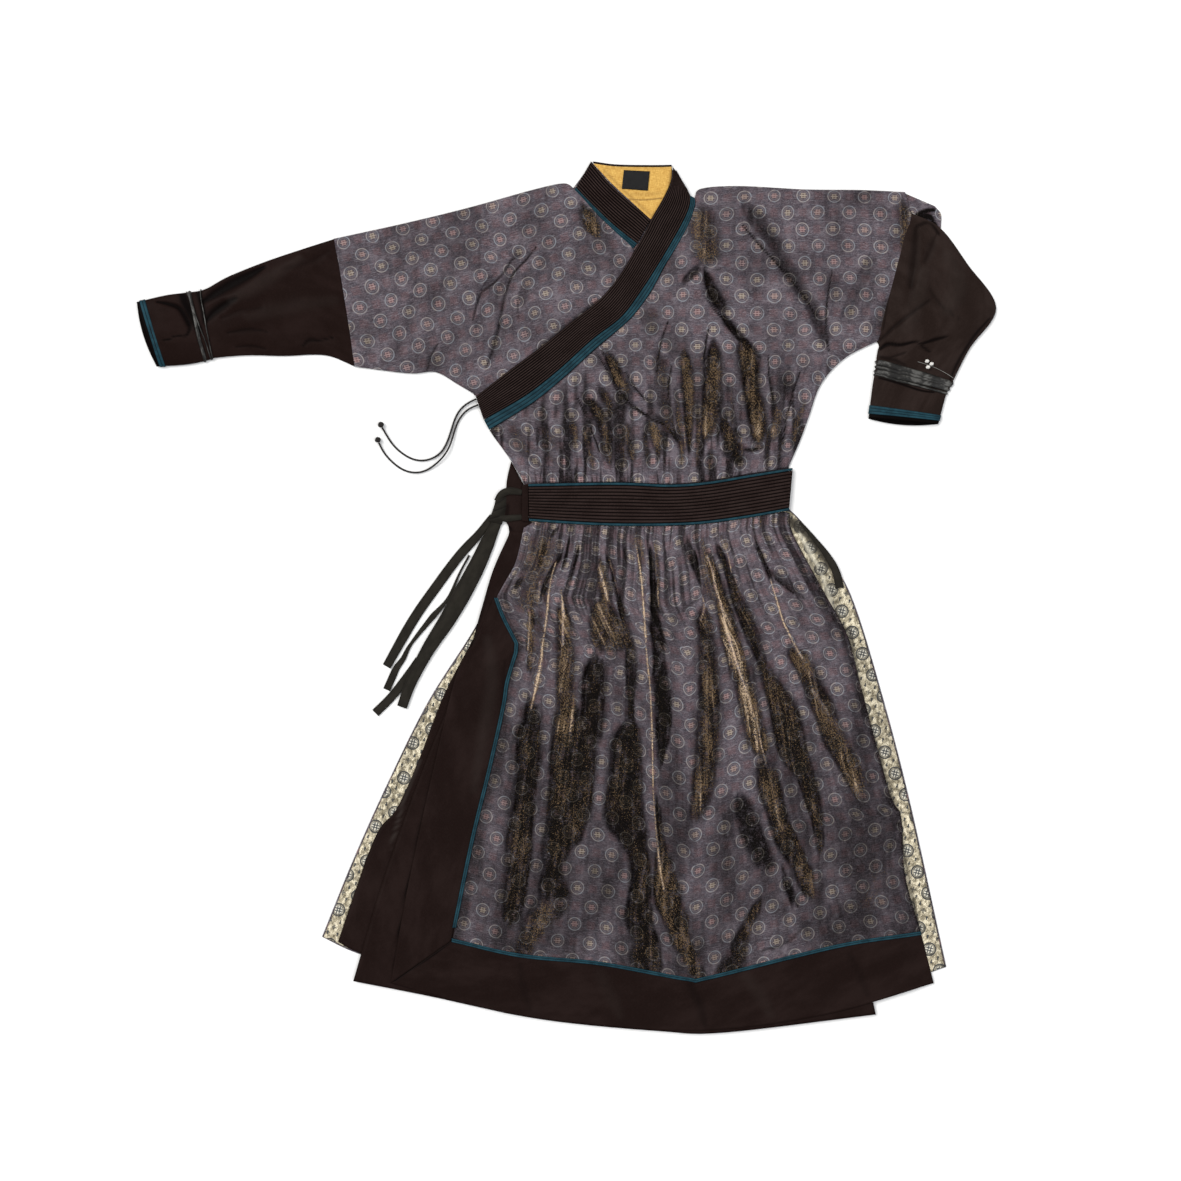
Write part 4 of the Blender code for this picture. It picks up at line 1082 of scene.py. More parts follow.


# ---------------------------------------------------------------- skirt
# hollows: dark (painted shade), gold (gold weft with painted glints), lift in mm, softness left and right in
# squares, then rows of (y, left x, right x)
SKIRT_HOLLOWS = (
    # the long hollows, left to right
    (0.95, 0.40, -7, 6, 4, (690, 526, 530), (705, 527, 536), (720, 526, 539), (735, 517, 538),
     (760, 519, 538), (780, 517, 536), (800, 516, 534), (820, 511, 532), (840, 508, 531), (860, 507, 530),
     (880, 506, 527), (900, 504, 524), (918, 503, 518), (935, 507, 512)),
    (0.82, 0.72, -4, 3, 4, (586, 560, 564), (600, 560, 567), (620, 558, 570), (640, 557, 572),
     (680, 558, 574), (700, 559, 575), (720, 556, 577), (745, 553, 580)),
    (0.95, 0.42, -8, 5, 5, (690, 564, 570), (705, 560, 576), (720, 556, 584), (735, 553, 591),
     (760, 552, 595), (780, 552, 592), (800, 550, 590), (820, 548, 587), (840, 545, 580), (852, 543, 568),
     (865, 545, 560), (880, 541, 563), (895, 538, 572), (908, 533, 574)),
    (0.75, 0.50, -5, 5, 5, (890, 537, 574), (905, 532, 572), (918, 526, 560), (930, 519, 546),
     (945, 512, 538), (958, 511, 530), (978, 510, 524)),
    (0.80, 0.62, -4, 2, 3, (552, 596, 599), (565, 596, 603), (580, 599, 608), (600, 601, 611),
     (606, 592, 613), (620, 590, 620), (635, 591, 626), (648, 591, 632), (660, 590, 632)),
    (0.98, 0.30, -7, 4, 5, (650, 591, 601), (660, 588, 603), (680, 584, 602), (700, 583, 603),
     (720, 582, 602), (740, 583, 600), (755, 586, 596)),
    (0.85, 0.30, -5, 2, 3, (545, 603, 605), (560, 607, 610), (575, 612, 615), (590, 616, 619),
     (605, 619, 622), (620, 621, 627), (640, 625, 633), (660, 626, 635), (680, 627, 636),
     (700, 626, 633), (720, 626, 634), (735, 620, 638)),
    (0.95, 0.38, -8, 5, 3, (712, 628, 634), (730, 619, 639), (745, 612, 640), (760, 611, 640),
     (780, 611, 641), (800, 607, 642), (815, 606, 643), (828, 611, 644), (840, 620, 645), (855, 630, 647),
     (870, 633, 650), (885, 632, 651), (900, 629, 650), (915, 625, 651), (930, 630, 654), (942, 636, 658),
     (955, 631, 660), (968, 634, 662), (985, 640, 664)),
    (0.98, 0.15, -7, 2, 3, (540, 648, 651), (570, 650, 654), (600, 651, 656), (620, 651, 659),
     (640, 652, 662), (660, 654, 664), (680, 654, 667), (700, 656, 670), (720, 656, 670),
     (740, 657, 668), (755, 657, 664), (775, 658, 661)),
    (0.92, 0.58, -6, 2, 4, (790, 655, 658), (820, 656, 661), (845, 657, 665), (865, 656, 671),
     (885, 654, 677), (900, 655, 680), (920, 664, 687), (940, 671, 690), (955, 679, 696),
     (968, 687, 702), (990, 698, 712)),
    (0.86, 0.10, -4, 3, 2, (532, 683, 686), (545, 684, 690), (555, 687, 695), (570, 694, 699),
     (585, 699, 702), (596, 701, 704)),
    (0.60, 0.52, -3, 3, 3, (530, 698, 704), (545, 699, 706), (560, 700, 711), (580, 702, 716),
     (600, 703, 718), (612, 704, 712)),
    (0.88, 0.60, -6, 5, 5, (600, 700, 705), (620, 698, 708), (640, 700, 712), (660, 700, 715),
     (680, 700, 716), (700, 700, 718), (720, 698, 717), (740, 697, 716), (760, 696, 716),
     (780, 694, 713), (800, 692, 709), (815, 690, 702), (830, 690, 697)),
    (0.88, 0.76, -3, 2, 3, (542, 702, 708), (560, 705, 713), (580, 711, 720), (600, 716, 727),
     (620, 719, 732), (640, 722, 738), (660, 727, 744), (680, 733, 750), (700, 738, 757),
     (720, 743, 763), (745, 749, 768), (765, 755, 771)),
    (0.92, 0.55, -7, 3, 3, (752, 754, 768), (770, 757, 776), (785, 759, 780), (800, 763, 782),
     (820, 770, 787), (840, 776, 797), (855, 784, 804), (870, 793, 811), (885, 799, 814),
     (898, 806, 816), (908, 810, 815)),
    (0.92, 0.50, -6, 3, 4, (538, 712, 716), (550, 716, 722), (565, 722, 728), (580, 727, 733),
     (600, 732, 742), (615, 738, 750), (630, 743, 756), (645, 749, 760), (660, 757, 765),
     (680, 762, 776), (700, 768, 791), (718, 772, 799), (735, 775, 803), (750, 778, 806),
     (765, 786, 811), (780, 798, 815), (800, 805, 818), (820, 812, 822), (840, 815, 823), (862, 817, 822)),
    (0.90, 0.05, -4, 2, 2, (530, 749, 752), (545, 754, 757), (560, 760, 763), (572, 765, 770),
     (580, 768, 772), (592, 772, 776)),
    (0.86, 0.66, -6, 3, 5, (638, 784, 790), (655, 788, 806), (670, 797, 813), (685, 803, 819),
     (700, 809, 830), (715, 815, 835), (730, 820, 841), (745, 825, 848), (760, 835, 857),
     (775, 843, 862), (790, 851, 864), (806, 858, 864)),
    (0.92, 0.00, -7, 8, 8, (786, 734, 740), (805, 737, 748), (820, 739, 754), (835, 744, 761),
     (850, 751, 768), (865, 759, 773), (880, 766, 775)),
    (0.85, 0.00, -4, 3, 3, (868, 780, 784), (882, 783, 789), (896, 788, 795), (910, 791, 796)),
    (0.85, 0.42, -5, 4, 3, (888, 761, 766), (903, 754, 762), (915, 747, 757), (930, 739, 749),
     (945, 731, 745), (958, 725, 745), (969, 719, 744), (990, 712, 742)),
    (0.50, 0.38, -3, 5, 5, (856, 878, 884), (872, 874, 888), (888, 868, 884), (905, 861, 876),
     (919, 862, 870)),
    # shade along the free right edge
    (0.72, 0.05, -2, 5, 2, (560, 802, 807), (580, 812, 817), (600, 820, 827), (620, 830, 839),
     (630, 838, 848), (650, 845, 853), (680, 853, 861), (700, 858, 867), (730, 868, 877),
     (760, 877, 887), (790, 886, 896), (800, 886, 900), (830, 895, 903), (860, 900, 909),
     (890, 904, 913), (926, 908, 919)),
    # wrinkled cloth at the upper left, darkened with painted shade and gold flecks
    (0.62, 0.56, -2, 8, 6, (524, 528, 560), (545, 529, 557), (562, 526, 553), (582, 521, 547),
     (602, 516, 541), (622, 518, 534)),
    (0.92, 0.20, -3, 2, 3, (538, 541, 548), (548, 540, 550), (560, 538, 547), (572, 535, 541)),
    (0.85, 0.15, -2, 2, 2, (574, 522, 530), (582, 517, 524), (590, 514, 519)),
    (0.80, 0.10, -2, 2, 2, (524, 557, 560), (534, 552, 556), (545, 548, 551)),
    (0.85, 0.10, -3, 2, 2, (528, 568, 570), (545, 567, 570), (560, 564, 567), (574, 560, 563)),
    (0.80, 0.20, -2, 2, 2, (588, 531, 534), (604, 529, 532), (622, 527, 529)),
    (0.82, 0.60, -3, 2, 2, (600, 531, 535), (615, 529, 534), (635, 528, 534), (650, 527, 533),
     (665, 527, 532), (682, 529, 532)),
    (0.92, 0.10, -3, 2, 2, (540, 565, 567), (555, 559, 562), (568, 551, 555), (580, 544, 548),
     (595, 541, 544), (606, 540, 542)),
    (0.88, 0.05, -3, 2, 2, (540, 577, 579), (560, 573, 576), (575, 569, 572), (590, 565, 568)),
    (0.55, 0.35, -2, 3, 2, (598, 538, 543), (640, 533, 540), (660, 530, 538), (692, 527, 533)),
    (0.45, 0.65, -1, 2, 2, (530, 652, 658), (560, 654, 658), (590, 656, 659), (622, 658, 660)),
    (0.50, 0.70, -2, 3, 2, (530, 626, 640), (540, 630, 641), (552, 636, 643), (572, 640, 645)),
    (0.72, 0.20, -3, 2, 2, (535, 621, 624), (550, 624, 627), (568, 627, 629)),
    (0.50, 0.80, -2, 2, 2, (530, 718, 722), (545, 722, 728), (558, 726, 730)),
)
# strokes: dark (painted shade and shadow), gold (gold weft with painted glints), lift in mm, then x, y and
# half width of each point in squares
SKIRT_CREASES = (
    # bright creases where the gold weft catches the light
    (0.1, 0.94, 2, (556, 562, 1.4), (550, 585, 1.9), (547, 615, 2.3), (543, 642, 2.6), (541, 662, 3.5),
     (537, 682, 3.5), (534, 696, 2.6), (531, 709, 1.7)),
    (0.1, 0.9, 1, (530, 612, 1.4), (529, 632, 1.9), (528, 652, 1.4)),
    (0.1, 0.9, 1, (540, 582, 1.4), (539, 600, 1.6)),
    (0.1, 0.94, 2, (636, 546, 1.4), (640, 570, 1.9), (643, 600, 2.0), (645, 630, 2.2), (647, 660, 2.0),
     (650, 690, 1.9), (652, 735, 1.7), (653, 790, 1.6), (656, 830, 1.7), (660, 868, 2.6), (664, 890, 1.7)),
    (0.1, 0.94, 1.5, (561, 590, 1.4), (563, 606, 2.6), (563, 628, 2.3), (563, 645, 1.4)),
    (0.1, 0.94, 1.5, (599, 566, 1.4), (603, 582, 3.5), (608, 600, 2.9)),
    (0.1, 0.85, 1, (609, 558, 1.3), (614, 576, 1.3), (618, 592, 1.2)),
    (0.1, 0.94, 2, (707, 556, 1.4), (712, 572, 1.9), (716, 590, 1.9), (721, 605, 2.0), (724, 620, 2.2),
     (728, 635, 2.3), (733, 652, 2.6), (738, 668, 2.3), (744, 685, 2.0), (750, 705, 1.4), (757, 725, 1.3),
     (761, 745, 1.3), (766, 765, 1.0)),
    (0.1, 0.94, 2, (770, 580, 1.4), (776, 600, 2.0), (782, 620, 2.2), (789, 635, 2.5), (796, 648, 2.6),
     (802, 658, 1.7)),
    (0.1, 0.9, 1, (722, 540, 1.3), (728, 556, 1.7), (731, 572, 1.3)),
    (0.1, 0.9, 1, (702, 596, 1.3), (704, 608, 1.7), (700, 621, 1.4)),
    (0.1, 0.6, 1, (812, 690, 4.3), (822, 704, 5.1), (829, 716, 2.9)),
    # painted shade in dark patches, and thin painted shadow lines
    (0.62, 0.0, -3, (768, 571, 4), (781, 580, 6), (793, 590, 5), (803, 598, 3)),
    (0.80, 0.0, -3, (774, 578, 1.4), (783, 585, 2), (793, 593, 1.5)),
    (0.55, 0.0, -2, (683, 610, 3), (697, 599, 3)),
    (0.50, 0.3, -2, (590, 659, 2), (600, 653, 2.6), (612, 655, 3), (624, 656, 2.6), (632, 652, 1.8)),
    (0.75, 0.0, -3, (782, 866, 2), (788, 885, 3.4), (797, 905, 2)),
    (0.60, 0.0, -2, (814, 922, 1.4), (801, 929, 2.2), (792, 938, 3), (778, 946, 2), (762, 950, 1.2)),
    (0.40, 0.0, -1, (848, 917, 1.6), (830, 923, 2), (812, 924, 1.6)),
    (0.65, 0.0, -3, (896, 794, 2), (885, 806, 3), (873, 818, 2)),
    (0.6, 0.0, -1, (787, 790, 0.8), (797, 806, 1)),
    (0.45, 0.0, -2, (737, 800, 5), (722, 806, 5), (700, 822, 4)),
)


def front_level(grid):
    """Underside of the over-front: it steps down to the lining along the right edge."""
    edge = join(SKIRT_RIGHT, np.array([(551, -580), (560, -650)]))
    right = np.interp(-grid[..., 1], -edge[:, 1], edge[:, 0])
    return FRONT_LEVEL - (FRONT_LEVEL - LINING_TOP) * ease((grid[..., 0] - right + SIDE_SLOPE) / SIDE_SLOPE)


def skirt_front_grid():
    """Points that fill the over-front's outline, with a row that meets the notch."""
    left = join(line((-64, 103), (-76, 52), (-92, 22), (-104, 1)), shifted(SEAM_LEFT, SEAM_GAP, 0)[1:])
    left[-1] = (-172 + SEAM_GAP, -515 + SEAM_GAP)
    hem = join(left[-1:], shifted(SEAM_HEM, 0, SEAM_GAP)[1:])
    right = join(SKIRT_RIGHT[:-1], hem[-1:])
    top = join(left[:1], shifted(WAIST_LOW, 0, -2 * SEAM)[1:-1], right[:1])
    return patch(left, right, top, hem, 420, splits(left, NOTCH, 176))


def build_skirt_front():
    """The gathered over-front, with its long folds placed one by one."""
    grid = skirt_front_grid()
    x, y = grid[..., 0], grid[..., 1]
    v, u = spread(grid)
    along = u * SKIRT_RUN
    fray = grain(along, y, 71, 14, 60) * 1.7 + grain(along, y, 72, 4.0, 22) * 1.1
    streak = streaks(along, y, 73)
    dark, gold_glint, lift = hollows(grid, SKIRT_HOLLOWS, fray, streak)
    crease, glint, raised = strokes(grid, SKIRT_CREASES, fray * 0.15)
    gather, shade = pucker(grid, np.interp(x, WAIST_LOW[:, 0], WAIST_LOW[:, 1]), 5)
    pleated = np.clip(grain(along, y, 77, 8, 150, 2), -1, 1) * (1 - ease(v / 0.34))
    # height: a full panel that lies flat along its seams, with the folds and gathers in it
    swell = rolling(grid * (1.0, 0.35), 11, 70) * 0.9 + rolling(grid * (1.0, 0.5), 12, 28) * 0.35
    puff = ease(v / 0.10) * SKIRT_PUFF * ease((1 - v) / 0.13) + 1.5 * ease(v / 0.03)
    puff = puff * ease(u / 0.06) * ease((1 - u) / 0.07)
    share = np.clip(puff / SKIRT_PUFF, 0, 1)
    height = puff + (lift + raised) * share + gather * ease(v / 0.008) * 0.8
    height = np.maximum(height + (swell + pleated * 1.2) * share, 0.0)
    # painted shade on the open cloth: soft clouds of it, gathers from the waist, shade by the edges and
    # towards the lower right
    cloudy = 0.30 + 0.20 * grain(x, y, 15, 40, 110) + 0.09 * streak * (0.5 + pleated) - 0.80 * pleated
    cloudy = cloudy + 0.30 * (1 - ease(u / 0.035)) + 0.16 * ease((v - 0.40) / 0.40)
    cloudy = cloudy + 0.12 * ease((u - 0.68) / 0.15) * ease((v - 0.60) / 0.15)
    bright = ease((glint - 0.35) / 0.4)
    # painted shadow along the free right edge
    right_edge_shadow = ease((u - 0.985) / 0.015) * 0.75
    darks = (dark * (1 - 0.75 * bright), crease, np.clip(cloudy, 0, 0.62), shade * 0.9, right_edge_shadow)
    dark = np.maximum.reduce(darks)
    gold_glint = np.maximum.reduce((gold_glint, glint, np.clip(shade * 1.3 - 0.25, 0, 0.7) * (0.5 + 0.5 * streak)))
    sheet("skirt_over_front", "skirt_front", grid, front_level(grid) + WALL + height, "brocade_skirt",
          cloth=gathered(grid, dark ** 2, SKIRT_CUT), dark=dark, gold_glint=gold_glint, coarse=4)


def back_panel(name, node, grid, paint, folds, mirror, seed, tone, cloud):
    """Panel of the back, hardly seen: it takes the front's folds, mirrored, with their painted shade.

    mirror is the x of a fold and of its mirror image added up, tone the painted shade laid over all of it,
    and cloud the size of that shade's clouds."""
    fray, streak = feathered(grid, seed)
    dark, gold_glint, _ = hollows(grid * (-1, 1) + (mirror, 0), folds, fray, streak)
    dark = np.maximum(dark, tone + 0.2 * rolling(grid, seed + 2, cloud))
    sheet(name, node, grid, WALL, paint, dark=dark, gold_glint=gold_glint)


def build_skirt_back():
    """Brocade of the back skirt, which lies on the floor."""
    top = shifted(WAIST_LOW, 0, BACK_TUCK)
    left, right = join(top[:1], BACK_LEFT[1:]), join(top[-1:], BACK_RIGHT[1:])
    grid = patch(left, right, top, BACK_HEM, 130, 110)
    back_panel("skirt_back_panel", "skirt_back", grid, "brocade_skirt", SKIRT_HOLLOWS, SKIRT_MIRROR,
               seed=61, tone=0.30, cloud=60)


def build_skirt_lining():
    """Cream lining on the back skirt, face up and turned a little on its grain."""
    left, right = shifted(BACK_LEFT, LINING_IN, 0), shifted(BACK_RIGHT, -LINING_IN, 0)
    corners = BACK_HEM[:1] + (LINING_IN, 0), BACK_HEM[-1:] - (LINING_IN, 0)
    low = join(corners[0], shifted(BACK_HEM, 0, LINING_IN)[4:-4], corners[1])
    top = join(left[:1], shifted(WAIST_LOW, 0, BACK_TUCK)[4:-4], right[:1])
    grid = patch(left, right, top, low, 180, 180)
    dark, gold_glint, lift = strokes(grid, LINING_SHADING)
    sheet("skirt_back_lining", "skirt_lining", grid, STEP + THIN + np.maximum(lift, -0.2), "cream", THIN,
          cloth=turned(grid, -0.25, (500, -100)), dark=dark, gold_glint=gold_glint, coarse=4)


# painted shade, the over-front's painted shadow along its edge, and painted highlights
LINING_SHADING = (
    (0.55, 0.0, 0, (797, 520, 3), (812, 540, 4), (822, 560, 3)),
    (0.5, 0.0, 0, (806, 560, 3), (816, 574, 5), (822, 590, 3)),
    (0.96, 0.0, 0, (786, 518, 4), (796, 525, 6), (808, 536, 4.5), (819, 550, 3.5), (829, 566, 3)),
    (0.70, 0.0, 0, (803, 543, 2), (809, 553, 2.6), (812, 566, 1.5)),
    (0.60, 0.0, 0, (814, 562, 2), (820, 570, 2.6), (829, 574, 1.5)),
    (0.0, 0.9, 1.5, (800, 534, 2), (812, 556, 3), (818, 566, 2)),
    (0.0, 0.7, 1.2, (822, 575, 2), (830, 600, 3), (833, 620, 2)),
    (0.35, 0.0, 0, (828, 560, 3), (836, 585, 4), (842, 605, 3)),
    (0.8, 0.0, 0, (826, 590, 2), (842, 625, 2.5), (850, 632, 3), (855, 660, 2.5), (861, 690, 2.5),
     (873, 735, 2.5), (890, 790, 2.5), (898, 815, 2.5), (904, 850, 2.5), (908, 880, 2.5), (920, 930, 2.5)),
    (0.45, 0.0, 0, (806, 530, 9), (822, 565, 10), (836, 610, 8)),
    (0.30, 0.0, 0, (860, 650, 9), (880, 720, 9), (900, 790, 8)),
    (0.5, 0.0, 0, (338, 945, 2), (352, 905, 2), (372, 850, 2), (400, 775, 2), (424, 715, 2), (450, 660, 2)),
)

# strokes on the dark layers: painted shade in their creases and painted highlights on their ridges
PLEAT_FOLDS = (
    (0.8, 0.0, -0.4, (398, 860, 1), (385, 900, 1.3), (372, 945, 1.3), (362, 960, 1)),
    (0.6, 0.0, -0.4, (372, 880, 1), (352, 945, 1)),
    (0.0, 0.5, 0.4, (420, 760, 1.5), (404, 800, 2), (390, 850, 1.5)),
)
UNDER_FOLDS = (
    (0.85, 0.0, -0.4, (480, 610, 1), (460, 690, 1.4), (432, 790, 1.5), (405, 900, 1.5), (394, 975, 1.2)),
    (0.5, 0.0, -0.4, (470, 640, 2), (448, 720, 3), (430, 790, 3), (414, 850, 2)),
    (0.0, 0.45, 0.5, (476, 660, 2), (456, 740, 2.5), (440, 800, 2)),
    (0.7, 0.0, -0.4, (492, 575, 1), (482, 612, 1.2), (474, 640, 1)),
)
BORDER_FOLDS = (
    (0.0, 0.15, 0.5, (488, 640, 6), (492, 680, 9), (484, 730, 8), (474, 790, 5)),
    (0.4, 0.0, -0.3, (505, 660, 2), (500, 720, 3), (488, 790, 3), (478, 850, 2)),
)
HEM_FOLDS = (
    (0.9, 0.0, -0.5, (452, 941, 0.9), (430, 957, 1.1), (410, 970, 1.1), (394, 981, 0.9)),
    (0.35, 0.0, -0.4, (520, 965, 4), (524, 990, 6), (530, 1010, 4)),
    (0.0, 0.08, 0.5, (600, 975, 8), (610, 995, 9), (620, 1015, 6)),
    (0.45, 0.0, -0.5, (690, 985, 5), (700, 1005, 7), (705, 1025, 4)),
    (0.0, 0.10, 0.5, (745, 975, 7), (760, 995, 9), (770, 1015, 5)),
    (0.35, 0.0, -0.4, (850, 955, 5), (860, 975, 6), (868, 995, 4)),
)


def flat_layer(name, node, grid, folds, level, coarse=1):
    """Dark layer of the skirt that lies almost flat."""
    dark, gold_glint, lift = strokes(grid, folds)
    sheet(name, node, grid, level + WALL + lift * 0.2, "border", dark=dark, gold_glint=gold_glint, coarse=coarse)


def build_under_layers():
    """The pleat and the under-front that show at the left."""
    pleat_right = line((-100, -56), (-60, -300), (-30, -600))
    pleat_hem = line((-343, -518), (-313, -534), (-205, -575), (-30, -600))
    grid = patch(PLEAT_LEFT, pleat_right, line((-136, -56), (-100, -56)), pleat_hem, 50, 120)
    flat_layer("skirt_inner_pleat", "skirt_pleat", grid, PLEAT_FOLDS, LINING_TOP)
    under_right = line((250, 101), (380, -250), (464, -627))
    under_top = line((-84, 98), (60, 97), (250, 101))
    grid = patch(UNDER_LEFT, under_right, under_top, UNDER_HEM, 130, 130)
    flat_layer("skirt_under_front", "skirt_under", grid, UNDER_FOLDS, LINING_TOP + STEP, coarse=5)


def border_panel(name, node, grid, folds, low, swell, edges):
    """Dark border from an underside up, its relief faded out within two shares of its edges."""
    dark, gold_glint, lift = strokes(grid, folds)
    v, u = spread(grid)
    fade = inset(u, edges[0]) * inset(v, edges[1])
    sheet(name, node, grid, low + WALL + np.maximum(lift + swell, -0.2) * fade, "border",
          cloth=np.dstack(run_lengths(grid)), dark=dark, gold_glint=gold_glint)


def build_border():
    """Wide dark border down the front edge and along the hem, with its piping on the seam."""
    inner_left = shifted(SEAM_LEFT, -SEAM_GAP, 0)
    inner_left[-1] = (-172 - SEAM_GAP, -515 - SEAM_GAP)
    grid = strip(BORDER_LEFT, inner_left, 30, splits(inner_left, NOTCH, 150))
    swell = rolling(grid, 21, 60) * 0.3
    border_panel("front_border", "border_side", grid, BORDER_FOLDS, FRONT_LEVEL, swell, (0.12, 0.05))
    hem_top = join(inner_left[-1:] + (2 * SEAM, 0), shifted(SEAM_HEM, 0, -SEAM_GAP)[4:])
    hem_low = join(BORDER_LEFT[-1:] + (2 * SEAM, 0), HEM_LOW[3:])
    grid = strip(hem_top, hem_low, 30, 260)
    swell = rolling(grid, 22, 90) * 0.5
    border_panel("hem_border", "border_hem", grid, HEM_FOLDS, front_level(grid), swell, (0.15, 0.04))
    half = PIPING / 2
    grid = strip(shifted(SEAM_LEFT, -half, 0)[:-1], shifted(SEAM_LEFT, half, 0)[:-1], 12,
                 splits(SEAM_LEFT, NOTCH, 300))
    piped("front_piping", "piping_side", grid, FRONT_LEVEL + WALL + 2 * SEAM + PIPED, 2)
    grid = strip(shifted(SEAM_HEM, 0, half), shifted(SEAM_HEM, 0, -half), 12, 360)
    piped("hem_piping", "piping_hem", grid, front_level(grid) + STEP + SEAM + PIPED, 2)


def piped(name, node, grid, groove_top, rows, thick=PIPED, rise=0.9):
    """Teal piping sewn down in rows that run along the grid's columns."""
    _, u = spread(grid)
    lift, dark = ribs(u, rows)
    # the grooves between the rows get painted shade
    sheet(name, node, grid, groove_top + rise * lift, "teal", thick, cloth=lengthwise(grid), dark=dark * 0.9)


# ---------------------------------------------------------------- waist
def banded(name, node, grid, top, rows, thick, rise, paint="band", groove=1.30, coarse=1):
    """Dark band quilted in close rows along the grid's columns; groove is how dark the painted shade between
    them is.
    """
    _, u = spread(grid)
    lift, dark = ribs(u, rows, 0.6, groove)
    swell = rolling(grid, 31, 120) * 0.25
    sheet(name, node, grid, top - rise + rise * lift + swell * ease(u / 0.05) * ease((1 - u) / 0.05),
          paint, thick, cloth=lengthwise(grid), dark=np.clip(dark * 1.25, 0, 1), coarse=coarse)


WAIST_STROKES = (
    (0.95, 0.0, 0, (509, 489, 1), (516, 492, 1.4), (523, 493, 1.2)),
    (0.9, 0.0, 0, (505, 522, 1.2), (512, 531, 1.6), (519, 541, 1.6), (523, 548, 1.2)),
    (0.6, 0.0, 0, (508, 505, 2), (507, 515, 3)),
)


def build_waist():
    """Belt band of the waist: back half, quilted front half, end strip and piping."""
    grid = strip(shifted(WAIST_TOP, 0, -3), shifted(WAIST_LOW, 0, 3), 72, 150)
    banded("waistband_back_half", "waistband_back", grid, 4.3, 12, 3.1, 1.1, coarse=2)
    left = line((-83, 203), (-89, 178), (-91, 160), (-95, 148), (-95, 120), (-88, 108), (-86, 96), (-90, 82))
    right = line((-64, 168), (-65, 150), (-62, 130), (-59, 117), (-50, 110), (-52, 100), (-62, 88), (-72, 70))
    tab = patch(left, right, line((-83, 203), (-64, 168)), line((-90, 82), (-72, 70)), 40, 16)
    dark, _, _ = strokes(tab, WAIST_STROKES)
    sheet("waist_under_tab", "waist_underlay", tab, 4.1, "border", 1.1, dark=dark)
    top, low, pipe = shifted(WAIST_TOP, 6, 0), WAIST_LOW, WAIST_PIPING
    piped("waist_piping_top", "waistband_piping_top", strip(top, shifted(top, 0, -pipe), 8, 220), 6.6, 1, 2.0)
    piped("waist_piping_low", "waistband_piping_low", strip(shifted(low, 0, pipe), low, 8, 220), 6.6, 1, 2.0)
    grid = strip(shifted(top, 0, -pipe - SEAM), shifted(low, 0, pipe + SEAM), 88, 190)
    banded("waistband_front_half", "waistband_front", grid, 8.2, 11, 2.6, 1.3, coarse=2)
    end = patch(line((-66.5, 167), (-67, 113)), line((-57.5, 169), (-57, 112)),
                line((-66.5, 167), (-57.5, 169)), line((-67, 113), (-57, 112)), 10, 30)
    _, u = spread(end)
    sheet("waistband_left_end", "waistband_end", end, 6.8 + 0.5 * np.sin(math.pi * u), "border", 2.2)


